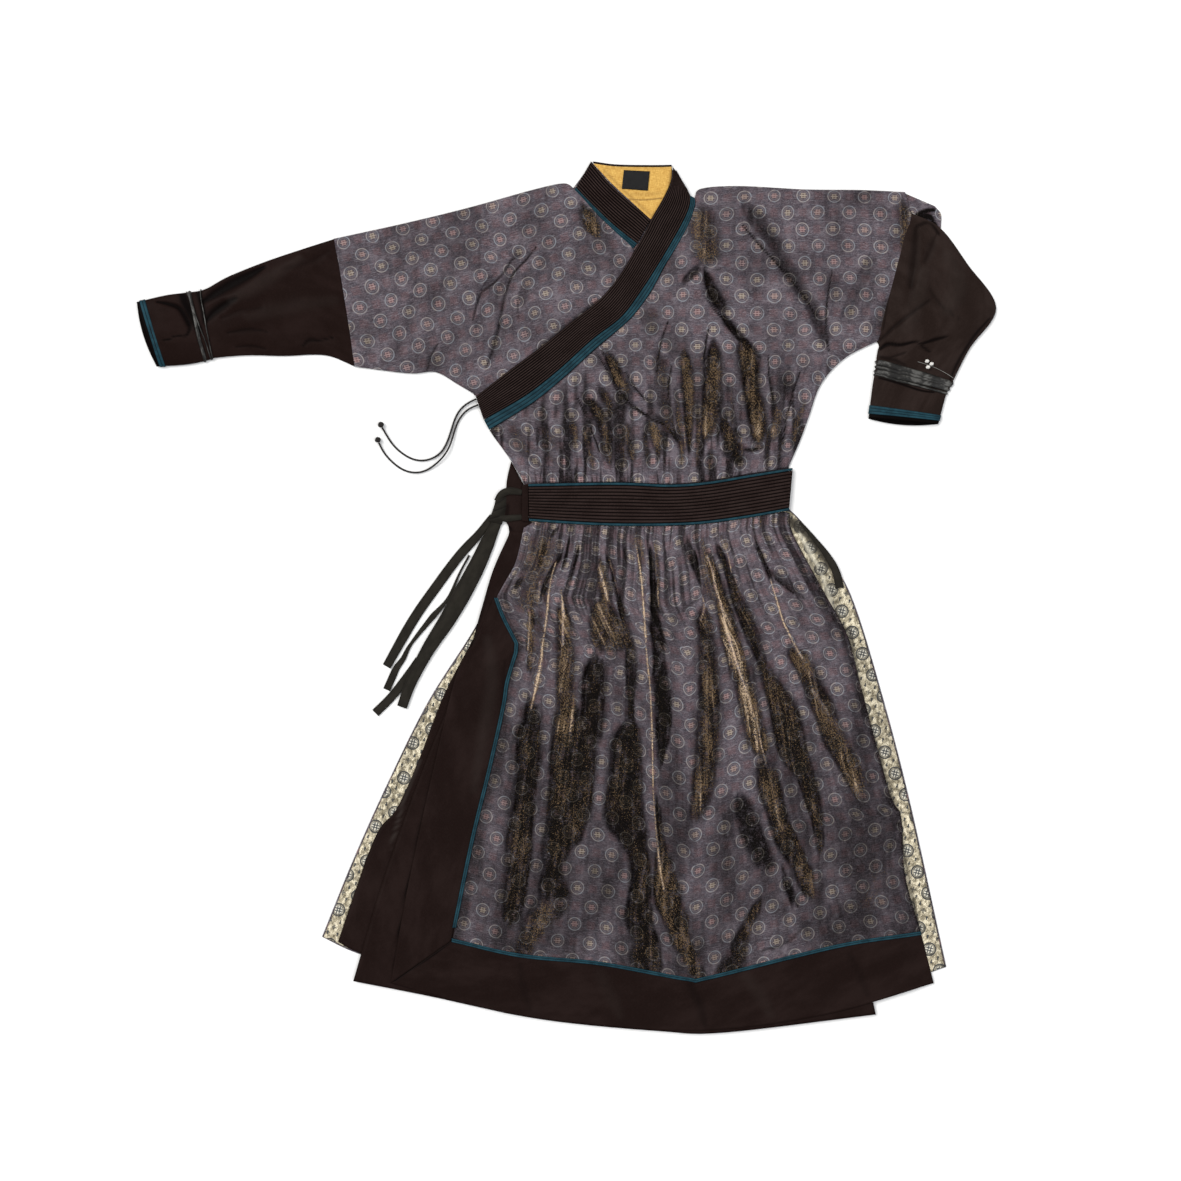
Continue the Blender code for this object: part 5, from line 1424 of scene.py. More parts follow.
# ---------------------------------------------------------------- bodice
BODICE_HOLLOWS = (
    # rising from the waist, left to right
    (0.55, 0.35, -3, 5, 5, (415, 503, 512), (430, 508, 520), (445, 513, 530), (460, 522, 540)),
    (0.50, 0.35, -3, 5, 4, (414, 528, 536), (428, 536, 548), (444, 548, 560), (458, 556, 566)),
    (0.72, 0.58, -2, 3, 2, (412, 566, 571), (424, 569, 576), (438, 572, 578), (452, 574, 579)),
    (0.92, 0.50, -5, 3, 3, (388, 574, 580), (398, 581, 592), (410, 590, 602), (424, 598, 609),
     (440, 602, 612), (458, 606, 613), (472, 608, 613)),
    (0.80, 0.40, -4, 2, 3, (382, 594, 600), (396, 600, 609), (410, 606, 615), (424, 612, 618)),
    (0.80, 0.60, -2, 2, 2, (416, 599, 604), (430, 602, 608), (444, 605, 609)),
    (0.72, 0.55, -4, 3, 3, (412, 615, 621), (426, 619, 630), (442, 624, 634), (458, 629, 636),
     (472, 631, 635)),
    (0.82, 0.60, -3, 2, 3, (412, 645, 650), (426, 648, 657), (440, 652, 661), (454, 655, 661),
     (468, 657, 660)),
    (0.92, 0.68, -5, 2, 3, (344, 601, 606), (356, 605, 613), (368, 609, 620), (380, 614, 625),
     (392, 621, 631), (402, 628, 636)),
    (0.66, 0.45, -4, 4, 4, (344, 654, 660), (362, 655, 667), (385, 657, 669), (405, 660, 671),
     (425, 664, 674), (445, 670, 678)),
    (0.94, 0.60, -6, 3, 3, (342, 680, 684), (358, 680, 689), (375, 682, 692), (392, 683, 693),
     (408, 684, 693), (424, 685, 692), (440, 687, 691), (460, 688, 691)),
    (0.90, 0.66, -6, 3, 4, (334, 711, 716), (350, 709, 718), (368, 706, 720), (386, 704, 720),
     (402, 703, 719), (418, 702, 717), (434, 702, 712), (448, 702, 708)),
    (1.00, 0.62, -7, 3, 3, (334, 735, 742), (346, 738, 752), (360, 740, 758), (378, 743, 757),
     (394, 745, 759), (410, 748, 763), (426, 751, 765), (440, 753, 764), (452, 756, 763)),
    (0.84, 0.66, -2, 2, 2, (400, 750, 758), (418, 752, 763), (434, 754, 763), (446, 757, 762)),
    (0.94, 0.45, -5, 2, 4, (410, 716, 720), (422, 719, 728), (436, 723, 735), (450, 729, 740),
     (464, 734, 743), (476, 737, 742)),
    (0.66, 0.70, -3, 2, 3, (398, 774, 780), (415, 773, 782), (432, 771, 780), (448, 770, 777)),
    (0.60, 0.55, -3, 4, 2, (392, 803, 811), (412, 797, 804), (432, 793, 799), (456, 787, 792)),
    # painted shade in a dark patch and in a long crease below the collar
    (0.72, 0.10, -5, 2, 3, (262, 698, 703), (268, 693, 701), (274, 688, 698), (281, 682, 690),
     (287, 680, 684)),
    (0.98, 0.18, -7, 2, 5, (262, 701, 705), (276, 704, 710), (288, 707, 715), (300, 711, 721),
     (310, 716, 727), (320, 721, 731)),
    (1.00, 0.15, -6, 2, 4, (306, 716, 721), (318, 721, 727), (328, 728, 734), (338, 736, 743),
     (348, 745, 753), (358, 752, 760), (372, 754, 760)),
    # fine gathers between the larger ones
    (0.70, 0.50, -3, 3, 3, (420, 580, 584), (436, 583, 588), (452, 587, 592), (468, 591, 595),
     (478, 593, 596)),
    (0.62, 0.45, -3, 3, 3, (430, 617, 620), (446, 620, 625), (462, 623, 628), (477, 626, 629)),
    (0.66, 0.40, -3, 3, 3, (424, 640, 643), (440, 643, 647), (456, 645, 650), (475, 647, 651)),
    (0.72, 0.55, -3, 3, 3, (380, 672, 676), (400, 674, 679), (424, 676, 682), (448, 679, 684),
     (472, 681, 684)),
    (0.66, 0.50, -3, 3, 3, (394, 696, 699), (414, 696, 701), (436, 696, 700), (456, 695, 699),
     (474, 694, 697)),
    (0.62, 0.35, -3, 3, 3, (372, 727, 731), (394, 727, 733), (416, 729, 734), (438, 731, 735)),
    (0.70, 0.45, -3, 3, 3, (446, 708, 712), (460, 708, 713), (474, 707, 711)),
    (0.66, 0.40, -3, 3, 3, (424, 764, 768), (440, 765, 770), (458, 765, 769), (472, 764, 767)),
    (0.60, 0.40, -3, 3, 3, (430, 779, 783), (446, 778, 783), (462, 776, 781), (474, 775, 778)),
    (0.50, 0.20, -3, 4, 4, (404, 783, 789), (424, 782, 788), (446, 781, 785)),
    (0.50, 0.30, -3, 4, 4, (430, 536, 542), (446, 542, 550), (462, 550, 556), (474, 556, 560)),
    # painted shade with gold flecks beside the collar and by the sleeve seam
    (0.72, 0.62, -3, 4, 5, (198, 697, 708), (212, 694, 712), (228, 692, 716), (245, 694, 719),
     (262, 697, 718), (274, 699, 712)),
    (0.72, 0.62, -2, 3, 2, (192, 896, 905), (210, 898, 909), (228, 900, 910), (246, 901, 908),
     (262, 900, 905)),
    (0.62, 0.20, -2, 4, 3, (290, 886, 898), (308, 881, 894), (326, 876, 889), (344, 872, 884)),
    (0.55, 0.30, -3, 5, 5, (300, 640, 652), (314, 641, 660), (330, 643, 660), (344, 648, 658)),
    (0.55, 0.00, -4, 5, 6, (326, 662, 680), (340, 664, 684), (352, 668, 686), (364, 674, 684)),
    # long soft hollows
    (0.68, 0.00, -5, 4, 5, (194, 736, 744), (208, 742, 755), (224, 750, 766), (240, 766, 778),
     (256, 773, 785), (272, 782, 796), (288, 793, 804), (304, 805, 815), (320, 812, 821),
     (338, 820, 828), (354, 824, 830)),
    (0.46, 0.00, -4, 6, 6, (256, 738, 745), (272, 741, 751), (290, 748, 759), (308, 757, 765)),
    (0.52, 0.00, -4, 6, 5, (246, 870, 876), (262, 866, 875), (278, 858, 870), (294, 850, 862),
     (312, 843, 853), (334, 836, 845)),
    (0.45, 0.00, -3, 6, 5, (262, 873, 879), (285, 868, 877), (306, 862, 870), (326, 860, 866)),
    (0.40, 0.00, -3, 6, 6, (296, 796, 803), (322, 788, 798), (350, 783, 791), (372, 780, 786)),
    (0.40, 0.00, -3, 6, 6, (352, 806, 812), (372, 798, 808), (392, 792, 800)),
)
BODICE_STROKES = (
    (0.80, 0.0, -3, (744, 450, 2), (753, 450, 3.2), (762, 447, 2.4)),
    (0.75, 0.0, -3, (735, 430, 3), (740, 437, 3.4)),
    (0.95, 0.0, -3, (602, 350, 1.0), (610, 367, 1.8), (618, 389, 1.6), (632, 405, 1.9), (648, 417, 1.5),
     (666, 427, 1.3), (677, 441, 1.8)),
    (0.0, 0.0, 2, (612, 389, 1.4), (628, 409, 2.0), (645, 422, 1.6)),
    (0.72, 0.1, -4, (652, 414, 1.8), (664, 423, 3), (674, 433, 2.8), (684, 445, 1.8)),
    (0.55, 0.0, -2, (700, 269, 1.4), (712, 269, 1.2), (724, 271, 1)),
    (0.85, 0.0, -3, (743, 226, 0.8), (760, 246, 1.3), (780, 267, 1.4), (800, 291, 1.3), (817, 316, 0.8)),
    (0.85, 0.1, -2, (596, 352, 0.8), (608, 372, 1.3), (618, 392, 1.3), (622, 404, 0.8)),
    (0.85, 0.0, -2, (625, 372, 0.8), (638, 392, 1.3), (652, 405, 1)),
    (0.80, 0.0, -2, (832, 270, 0.8), (827, 300, 1.2), (826, 330, 1.2), (829, 352, 0.8)),
    (0.85, 0.0, -2, (706, 296, 0.8), (716, 312, 1.3), (730, 324, 1)),
    (0.80, 0.0, -2, (668, 322, 0.8), (660, 346, 1.2), (657, 372, 1)),
    (0.85, 0.0, -2, (578, 398, 0.8), (585, 416, 1.2), (594, 436, 1.2), (600, 452, 0.8)),
    (0.85, 0.0, -2, (672, 366, 0.8), (668, 392, 1.2), (672, 416, 1.2), (676, 440, 0.8)),
    (0.85, 0.0, -2, (708, 330, 0.8), (704, 356, 1.2), (705, 384, 1.2), (709, 410, 0.8)),
    (0.80, 0.0, -2, (768, 356, 0.8), (769, 380, 1.2), (774, 404, 1.2), (775, 426, 0.8)),
    (0.80, 0.0, -2, (800, 372, 0.8), (792, 396, 1.2), (786, 420, 1.2), (783, 444, 0.8)),
    (0.50, 0.0, -3, (503, 438, 3), (522, 452, 4), (544, 468, 3)),
    (0.42, 0.0, -2, (556, 405, 3), (570, 422, 3.5), (584, 446, 3)),
    # ridges that catch the light
    (0.0, 0.0, 3, (690, 295, 5), (712, 325, 7), (728, 350, 6)),
    (0.0, 0.0, 3, (662, 300, 5), (650, 340, 7), (640, 380, 5)),
    (0.0, 0.0, 3, (773, 330, 7), (776, 370, 9), (790, 410, 6)),
    (0.0, 0.0, 3, (700, 350, 5), (700, 390, 6), (694, 440, 4)),
    (0.0, 0.0, 2, (770, 210, 8), (795, 235, 9), (830, 290, 8)),
    (0.0, 0.92, 1, (702, 352, 0.7), (701, 372, 0.9)),
    (0.0, 0.92, 1, (741, 438, 1), (742, 456, 1.2)),
    (0.0, 0.90, 1, (684, 425, 1), (685, 448, 1.1)),
)
UNDER_HOLLOWS = (
    (0.90, 0.66, -3, 3, 3, (198, 577, 583), (208, 580, 590), (220, 583, 597), (232, 588, 602),
     (244, 596, 606)),
    (0.46, 0.00, -4, 2, 5, (236, 521, 527), (250, 516, 523), (265, 509, 517), (280, 502, 511),
     (294, 496, 504), (304, 493, 498)),
    (0.44, 0.00, -4, 3, 4, (270, 494, 500), (282, 486, 496), (294, 478, 487), (306, 474, 480)),
    (0.50, 0.00, -5, 4, 4, (314, 503, 510), (328, 498, 507), (342, 493, 502), (356, 489, 497),
     (370, 487, 492)),
    (0.50, 0.20, -3, 4, 4, (256, 528, 534), (280, 524, 532), (300, 520, 528), (318, 518, 523)),
    (0.45, 0.00, -3, 6, 6, (212, 544, 552), (236, 542, 554), (262, 540, 550), (290, 536, 544)),
    (0.42, 0.00, -3, 5, 5, (290, 409, 416), (315, 407, 416), (345, 407, 413)),
    (0.46, 0.00, -3, 5, 5, (316, 392, 400), (340, 392, 403), (366, 395, 403)),
    (0.40, 0.00, -3, 6, 5, (300, 486, 492), (318, 478, 486), (336, 474, 480)),
    (0.40, 0.00, -3, 6, 5, (340, 468, 475), (360, 460, 470), (384, 455, 462)),
)
UNDER_STROKES = (
    (0.72, 0.0, -3, (537, 246, 0.8), (526, 260, 1.5), (513, 274, 1.9), (505, 296, 1.9), (498, 330, 2.1),
     (492, 352, 1.8), (486, 368, 0.9)),
    (0.66, 0.0, -3, (522, 253, 0.8), (511, 261, 1.6), (503, 274, 1.7), (490, 286, 2.0), (480, 295, 1.6),
     (473, 320, 0.9)),
    (0.0, 0.0, 2, (527, 278, 2), (518, 300, 3), (512, 335, 2.4)),
    (0.65, 0.0, -2, (438, 344, 1.2), (431, 356, 2.4), (427, 371, 2)),
    (0.60, 0.0, -2, (523, 283, 0.6), (518, 302, 1.0), (519, 322, 0.8)),
    (0.35, 0.0, -2, (360, 300, 3), (385, 292, 4), (420, 300, 3)),
    # shade along the over collar's edge
    (0.62, 0.0, -1, (598, 300, 2), (577, 318, 5), (548, 342, 5), (517, 372, 4), (490, 398, 3)),
    (0.0, 0.0, 2.5, (545, 240, 5), (530, 275, 7), (512, 320, 6)),
    (0.0, 0.0, 2.5, (470, 270, 8), (455, 310, 9), (450, 345, 6)),
    (0.0, 0.0, 2.0, (390, 262, 8), (380, 300, 9), (370, 330, 6)),
)


def build_bodice_back():
    """Back of the bodice with both upper sleeves."""
    left = join(shifted(SLEEVE_SEAM_LEFT, 3, 0), shifted(UNDERARM_LEFT, 2, 4)[2:-4],
                line((-132, 300), (-80, 205), (-63, 167.4)))
    right = join(shifted(SLEEVE_SEAM_RIGHT, -3, 0), shifted(UNDERARM_RIGHT, -3, 3)[2:-4],
                 np.array([(333.0, 191.4)]))
    top = join(line((-346, 537), (-149, 578), (8, 610)), line((30, 640), (100, 644), (165, 640)),
               line((190, 595), (260, 611), (505, 607)))
    grid = patch(left, right, top, shifted(WAIST_TOP, 0, -1.6), 130, 70)
    back_panel("bodice_back_panel", "bodice_back", grid, "brocade", BODICE_HOLLOWS, BODICE_MIRROR,
               seed=64, tone=0.27, cloud=50)


def build_shoulder_fold():
    """Fold of the back that shows past the right armhole."""
    grid = patch(line((506.5, 606), (517, 577.5)), line((553, 586), (562, 574), (562, 553)),
                 line((506.5, 606), (553, 586)), line((517, 577.5), (562, 553)), 40, 24)
    dark, gold_glint, lift = strokes(grid, FLAP_STROKES)
    v, u = spread(grid)
    top = WALL + 2.5 * np.sin(math.pi * u) * np.sin(math.pi * v) + np.maximum(lift, 0)
    sheet("shoulder_fold", "shoulder_flap", grid, top, "brocade", dark=dark, gold_glint=gold_glint)


def folded(grid, hollow_rows, stroke_rows, fray, streak):
    """Darkness, gold and height of a bodice panel's hollows and creases together."""
    dark, gold_glint, lift = hollows(grid, hollow_rows, fray, streak)
    crease, glint, raised = strokes(grid, stroke_rows, fray * 0.15)
    return np.maximum(dark, crease), np.maximum(gold_glint, glint), lift + raised


def build_under_front():
    """Front of the bodice that the other one crosses, with the left upper sleeve."""
    right = join(collar_line(UNDER_COLLAR, "p") + (-1.0, -1.0),
                 collar_line(OVER_COLLAR, "i")[6:] + (3.0, -3.0))
    top = join(SHOULDER_LEFT[:-1], right[:1])
    low = join(UNDERARM_LEFT[:-1], right[-1:])
    grid = patch(SLEEVE_SEAM_LEFT, right, top, low, 170, 120)
    fray, streak = feathered(grid, 81)
    dark, gold_glint, lift = folded(grid, UNDER_HOLLOWS, UNDER_STROKES, fray, streak)
    # painted shade in soft clouds over the open cloth
    cloudy = 0.27 + 0.17 * rolling(grid, 45, 50) + 0.06 * streak
    dark = np.maximum(dark, np.clip(cloudy, 0, 0.6))
    swell = rolling(grid, 41, 80) * 0.9 + rolling(grid, 42, 30) * 0.3
    rise = np.maximum((5.0 + lift + swell) * dome(grid, 0.45), 0)
    cloth = turned(grid, 0.25, (-180, 440)) + uneven_lie(grid, 48)
    sheet("bodice_under_front", "bodice_under", grid, STEP + WALL + rise, "brocade", cloth=cloth,
          dark=dark, gold_glint=gold_glint, coarse=5)


def build_over_front():
    """Front of the bodice that crosses over, with the right upper sleeve, gathered into the waist."""
    left = join(collar_line(OVER_COLLAR, "p")[2:] + (SEAM, -SEAM), BODICE_LOW_LEFT[2:])
    right = join(SLEEVE_SEAM_RIGHT, UNDERARM_RIGHT[1:])
    top = join(left[:1], SHOULDER_RIGHT[2:])
    low = join(left[-1:], shifted(WAIST_TOP, 0, 1)[3:-3], right[-1:])
    grid = patch(left, right, top, low, 210, 170)
    x, y = grid[..., 0], grid[..., 1]
    v, u = spread(grid)
    fray, streak = feathered(grid, 91)
    dark, gold_glint, lift = folded(grid, BODICE_HOLLOWS, BODICE_STROKES, fray, streak)
    pleated = np.clip(grain(x, y, 95, 7, 80, 3), -1, 1) * ease((v - 0.50) / 0.40)
    # painted shade in soft clouds, in the gathers rising from the waist and by the waist seam
    cloudy = 0.27 + 0.18 * rolling(grid, 46, 50) + 0.06 * streak - 0.85 * pleated
    gather, shade = pucker(grid, np.interp(x, WAIST_TOP[:, 0], WAIST_TOP[:, 1]), 8, 6.0)
    dark = np.maximum.reduce((dark, np.clip(cloudy, 0, 0.7), shade * 0.9))
    level = STEP + 3.1 * v ** 3 * ease((1 - u) / 0.1) * ease(u / 0.15)
    swell = rolling(grid, 43, 90) * 1.1 + rolling(grid * (1.0, 0.6), 44, 30) * 0.35
    body = ease(u / 0.10) * ease((1 - u) / 0.08) * ease(v / 0.06) * ease((1 - v) / 0.12)
    lift = np.maximum((7.0 + lift + swell) * body, 0) + gather * 0.5
    # the cloth is wider than the panel by the waist, where it is gathered
    spare = 1 + 0.10 * ease((250 - y) / 110)
    cloth = np.dstack([150 + (x - 150) * spare, y]) + uneven_lie(grid, 47)
    sheet("bodice_over_front", "bodice_front", grid, level + WALL + np.maximum(lift, -0.4), "brocade",
          cloth=cloth, dark=dark, gold_glint=gold_glint, coarse=5)


# painted shadow under the fold's edge and in the sleeve's opening, and painted shade along the shoulder seam
FLAP_STROKES = (
    (1.0, 0.0, -1, (913, 219, 2), (919, 214, 3), (926, 211, 3), (934, 209.5, 2)),
    (1.0, 0.0, -1, (915, 220, 3), (922, 217, 5), (930, 217, 3.5), (937, 226, 1.6)),
    (0.4, 0.3, 0, (908, 194, 2), (907, 203, 3), (905, 215, 2)),
)


# ---------------------------------------------------------------- collar
def build_collar():
    """Both collar bands and the piping sewn to them."""
    looks = {"paint": "collar", "groove": 1.75}
    base = STEP + WALL + SEAM
    inner, seam = (collar_edge(OVER_COLLAR, which, 150) for which in "is")
    banded("collar_over_band", "collar_over", blend(inner, seam + (-SEAM, SEAM), 96), base + 3.2, 13, 2.2,
           1.2, **looks)
    seam, outer = (collar_edge(OVER_COLLAR, which, 150, 2) for which in "sp")
    piped("collar_over_piping", "piping_over", blend(seam, outer, 24), base + 1.7, 3, 1.7, 1.0)
    inner, seam, outer = (collar_edge(UNDER_COLLAR, which, 70) for which in "isp")
    banded("collar_under_band", "collar_under", blend(inner, seam + (SEAM, SEAM), 80), STEP + 1.7, 11, WALL,
           0.8, **looks)
    piped("collar_under_piping", "piping_under", blend(seam, outer, 24), STEP + 0.7, 3, 0.7, 0.9)


def build_neck():
    """Lined back neck with its bound edge, and the bare label."""
    neck_top = line((40, 650), (75, 645.5), (130, 644.5), (158, 645))
    grid = patch(line((40, 650), (68, 620), (97, 593), (126, 566.5)),
                 line((158, 645), (157, 625), (148, 603), (127, 566.5)),
                 neck_top, line((126, 566.5), (127, 566.5)), 50, 50)
    dark, _, lift = strokes(grid, NECK_STROKES)
    sheet("neck_back_lining", "neck_lining", grid, NECK_TOP + np.clip(lift, -0.2, 0.2), "mustard", 0.8,
          dark=dark)
    grid = ribbon_grid(shifted(neck_top, 0, 1.7), (2.6, 2.6), 60, 6)
    _, u = spread(grid)
    sheet("neck_edge_binding", "neck_edge", grid, STEP + 1.1 + 0.9 * np.sin(math.pi * u), "border", 1.1,
          cloth=np.dstack(run_lengths(grid)))
    grid = patch(line((86, 640), (83, 612)), line((125, 638), (122, 609)),
                 line((86, 640), (125, 638)), line((83, 612), (122, 609)), 24, 18)
    v, u = spread(grid)
    border = np.minimum(np.minimum(u, 1 - u) * 40, np.minimum(v, 1 - v) * 28)
    stitched = np.exp(-((border - 2.2) / 0.7) ** 2)
    sheet("bare_neck_label", "label", grid, NECK_TOP + SEAM + 0.8 - 0.25 * stitched, "label", 0.7,
          dark=stitched * 0.6)


# a dark seam line, and painted shade in the lining's creases
NECK_STROKES = (
    (0.85, 0.0, -0.2, (627, 199, 0.8), (645, 199.5, 0.8), (662, 198, 0.8)),
    (0.35, 0.0, 0, (630, 194, 2.5), (645, 194, 3), (660, 193, 2.5)),
    (0.45, 0.0, 0, (604, 170, 2), (622, 188, 2), (640, 205, 2.2), (650, 214, 2)),
    (0.55, 0.0, 0, (671, 172, 1.6), (669, 188, 2.4), (662, 204, 2.4), (652, 216, 2)),
    (0.30, 0.0, 0, (606, 168, 1.5), (635, 168, 1.6), (668, 168, 1.5)),
    (0.25, 0.0, -0.2, (657, 175, 0.6), (657, 190, 0.6)),
    (0.25, 0.0, -0.2, (614, 175, 0.6), (619, 186, 0.6)),
)


# ---------------------------------------------------------------- sleeves
def sections(rows, count):
    """Sleeve sections resampled smoothly along the sleeve."""
    smooth = line(*rows)
    where = np.linspace(0, len(smooth) - 1, count)
    return np.stack([np.interp(where, np.arange(len(smooth)), smooth[:, k]) for k in range(6)], -1)


def section_at(rows, place_no):
    """Section at a fractional row number of a sleeve table."""
    k = min(int(place_no), len(rows) - 2)
    t = place_no - k
    return (1 - t) * np.array(rows[k]) + t * np.array(rows[k + 1])


def section_middle(row):
    """Middle of a sleeve section in plan."""
    return (row[:2] + row[2:4]) / 2


def section_loop(row, sides, grow=0.0):
    """Points round a flattened tube at one section, moved out by grow."""
    half, high, floor = (row[2:4] - row[:2]) / 2, row[4], row[5]
    reach = np.linalg.norm(half)
    angle = np.linspace(0, 2 * math.pi, sides, endpoint=False)
    w = np.cos(angle)
    shape = np.clip(1 - np.abs(w) ** 2.6, 0, 1) ** (1 / 2.2)
    edge = floor + TUBE_EDGE
    rise = (high - TUBE_EDGE + grow) * shape
    drop = (TUBE_EDGE + grow) * np.clip(shape * 1.6, 0, 1)
    z = np.where(np.sin(angle) >= -1e-9, edge + rise, edge - drop)
    return np.column_stack([section_middle(row) + np.outer(w * (reach + grow) / reach, half), z])


def tube_shell(name, node, outer, inner, paint, dark=0.0, gold_glint=0.0):
    """Hollow tube between matching outer and inner rings, open at both ends."""
    n, sides = outer.shape[:2]
    cloth = np.dstack(run_lengths(outer)).reshape(-1, 2)
    points = np.vstack([outer.reshape(-1, 3), inner.reshape(-1, 3)])
    skin = quads(n, sides, wrap=True)
    count = n * sides
    j = np.arange(sides)
    i = (j + 1) % sides
    ends = []
    for k, flip in ((0, True), (n - 1, False)):
        quad = np.stack([k * sides + j, k * sides + i, count + k * sides + i, count + k * sides + j], -1)
        ends.append(quad[:, ::-1] if flip else quad)
    faces = np.vstack([skin, count + skin[:, ::-1], *ends])
    amounts = [np.tile(np.broadcast_to(f, (n, sides)).reshape(-1), 2) for f in (dark, gold_glint)]
    return mesh_piece(name, node, points, [faces], np.vstack([cloth, cloth]), paint, *amounts)


# painted shade in the sleeve's creases and painted highlights on its ridges
LEFT_SLEEVE_STROKES = (
    (1.00, 0.0, -3, (264, 267, 2), (250, 275, 5), (232, 284, 6), (215, 294, 5), (204, 301, 3)),
    (0.95, 0.0, -3, (236, 299, 2.4), (224, 305, 4.5), (213, 313, 4.5), (207, 320, 2.4)),
    (1.00, 0.0, 0, (181, 291, 4), (186, 304, 5), (193, 318, 5), (199, 330, 4)),
    (0.90, 0.0, 0, (198, 292, 3), (202, 305, 3.4), (205, 322, 3)),
    (0.95, 0.0, -2, (157, 302, 1.0), (168, 304, 2.2), (179, 308, 3.0), (185, 316, 3.4), (190, 326, 3.0)),
    (0.85, 0.0, -1, (191, 328, 2.4), (186, 336, 1.5), (176, 336, 0.9), (171, 339, 1.2), (163, 341, 0.8)),
    (0.75, 0.0, -1.5, (303, 346, 1.2), (309, 340, 2.4), (320, 340, 1.6), (334, 337, 1.2)),
    (0.60, 0.0, -1.5, (228, 333, 1.4), (244, 330, 2.6), (258, 330, 2.0), (268, 332, 1.2)),
    (0.55, 0.0, -1.5, (236, 347, 1.0), (252, 346, 1.8), (266, 349, 1.2)),
    (0.45, 0.0, -1.5, (222, 318, 1.5), (240, 311, 2.0), (262, 308, 1.2)),
    (0.35, 0.0, -1.5, (330, 250, 2), (310, 262, 3), (285, 270, 2)),
    (0.0, 0.16, 2.5, (300, 258, 5), (262, 284, 9), (232, 300, 6)),
    (0.0, 0.12, 1.5, (335, 300, 6), (290, 308, 9), (250, 318, 6)),
)
# painted shadow under the laces, painted shade in creases and by the shoulder fold, and painted highlights on
# ridges
RIGHT_SLEEVE_STROKES = (
    (0.95, 0.0, 0, (879, 378, 1), (900, 384, 1.3), (920, 390.5, 1.3), (934, 392.5, 0.9)),
    (0.90, 0.0, 0, (879, 367, 1), (897, 370, 2), (912, 375, 1.6), (932, 383, 1.2), (948, 388, 1)),
    (0.60, 0.0, 0, (880, 357, 2), (893, 360, 3), (905, 365, 2)),
    (0.75, 0.0, 0, (990, 318, 1.2), (974, 336, 2), (958, 362, 2), (950, 380, 1.4)),
    (0.55, 0.0, 0, (899, 240, 1), (891, 285, 1.2), (883, 330, 1.2)),
    (0.70, 0.0, 0, (917, 226, 2), (930, 222, 3), (939, 234, 2)),
    (0.55, 0.0, -3, (916, 228, 3), (914, 255, 5), (911, 286, 4)),
    (0.45, 0.0, -2, (936, 235, 2), (930, 250, 4), (925, 262, 3)),
    (0.95, 0.0, -2, (880, 349, 1.5), (888, 344, 2.4), (900, 345, 2.0), (914, 342, 1.4)),
    (0.90, 0.0, -2, (922, 344, 1.2), (934, 340, 2.0), (946, 337, 1.4)),
    (0.75, 0.0, -2, (916, 341, 1.2), (924, 348, 1.8), (930, 352, 1.2)),
    (0.55, 0.0, -1.5, (890, 358, 1.2), (905, 353, 1.6)),
    (0.60, 0.0, -2, (880, 340, 1.5), (900, 322, 2.4), (930, 300, 2)),
    (0.45, 0.0, -2, (960, 320, 2), (940, 305, 3), (930, 290, 2)),
    (0.0, 0.16, 2.5, (950, 255, 7), (958, 285, 10), (946, 310, 7)),
    (0.0, 0.12, 2, (925, 270, 6), (915, 310, 8), (905, 330, 6)),
)


def build_sleeve(side, rows, folds, paint):
    """Lower sleeve as an open flattened tube, creased on its upper face."""
    sides, count = 100, 132
    row_list = sections(rows, count)
    outer, inner = (np.stack([section_loop(row, sides, grow) for row in row_list]) for grow in (0.0, -WALL))
    plan = outer[..., :2]
    dark, gold_glint, lift = strokes(plan, folds)
    angle = np.linspace(0, 2 * math.pi, sides, endpoint=False)[None]
    upper = ease(np.sin(angle) / 0.35)
    v = np.linspace(0, 1, count)[:, None]
    swell = rolling(plan, 51, 55) * 0.8 + rolling(plan, 52, 22) * 0.3
    room = np.clip((outer[..., 2] - (row_list[:, 5:6] + TUBE_EDGE)) * 0.6, 0, 9)
    change = np.clip((lift + swell) * upper * ease(v / 0.08), -room, 6)
    # the lower face reaches out past the upper one at the cuff, and shade is painted at the mouth, where the
    # tube is dark inside
    lip = 5.5 * ease((v - 0.90) / 0.10) * (1 - upper) * (1 - np.cos(angle) ** 2)
    ahead = (row_list[-1] - row_list[-8])[:4].reshape(2, 2).mean(0)
    mouth_shade = ease((v - 0.968) / 0.012)
    for wall in (outer, inner):
        wall[..., 2] += change
        wall[..., :2] += lip[..., None] * ahead / np.linalg.norm(ahead)
    tube_shell("sleeve_" + side + "_lower", "sleeve_" + side, outer, inner, paint,
               np.maximum(dark * upper, mouth_shade), gold_glint * upper * (1 - mouth_shade))


def build_cuff_edge(name, node, rows, place_no, width, stitched):
    """Piped edge round a sleeve at a fractional row, as wide as asked, sewn in raised rows."""
    a_bit = 0.05
    here, ahead = section_at(rows, place_no), section_at(rows, place_no + a_bit)
    half = width / 2 / (np.linalg.norm(section_middle(ahead) - section_middle(here)) / a_bit)
    at = np.linspace(-1, 1, 6 * stitched + 1)
    lift, dark = ribs((at + 1) / 2, stitched)
    around = [section_at(rows, place_no + half * t) for t in at]
    outer = np.stack([section_loop(row, 96, SEAM + (0.45 + 0.55 * h)) for row, h in zip(around, lift)])
    inner = np.stack([section_loop(row, 96, SEAM) for row in around])
    # the grooves between the rows get painted shade
    tube_shell(name, node, outer, inner, "teal", dark[:, None] * 0.9)


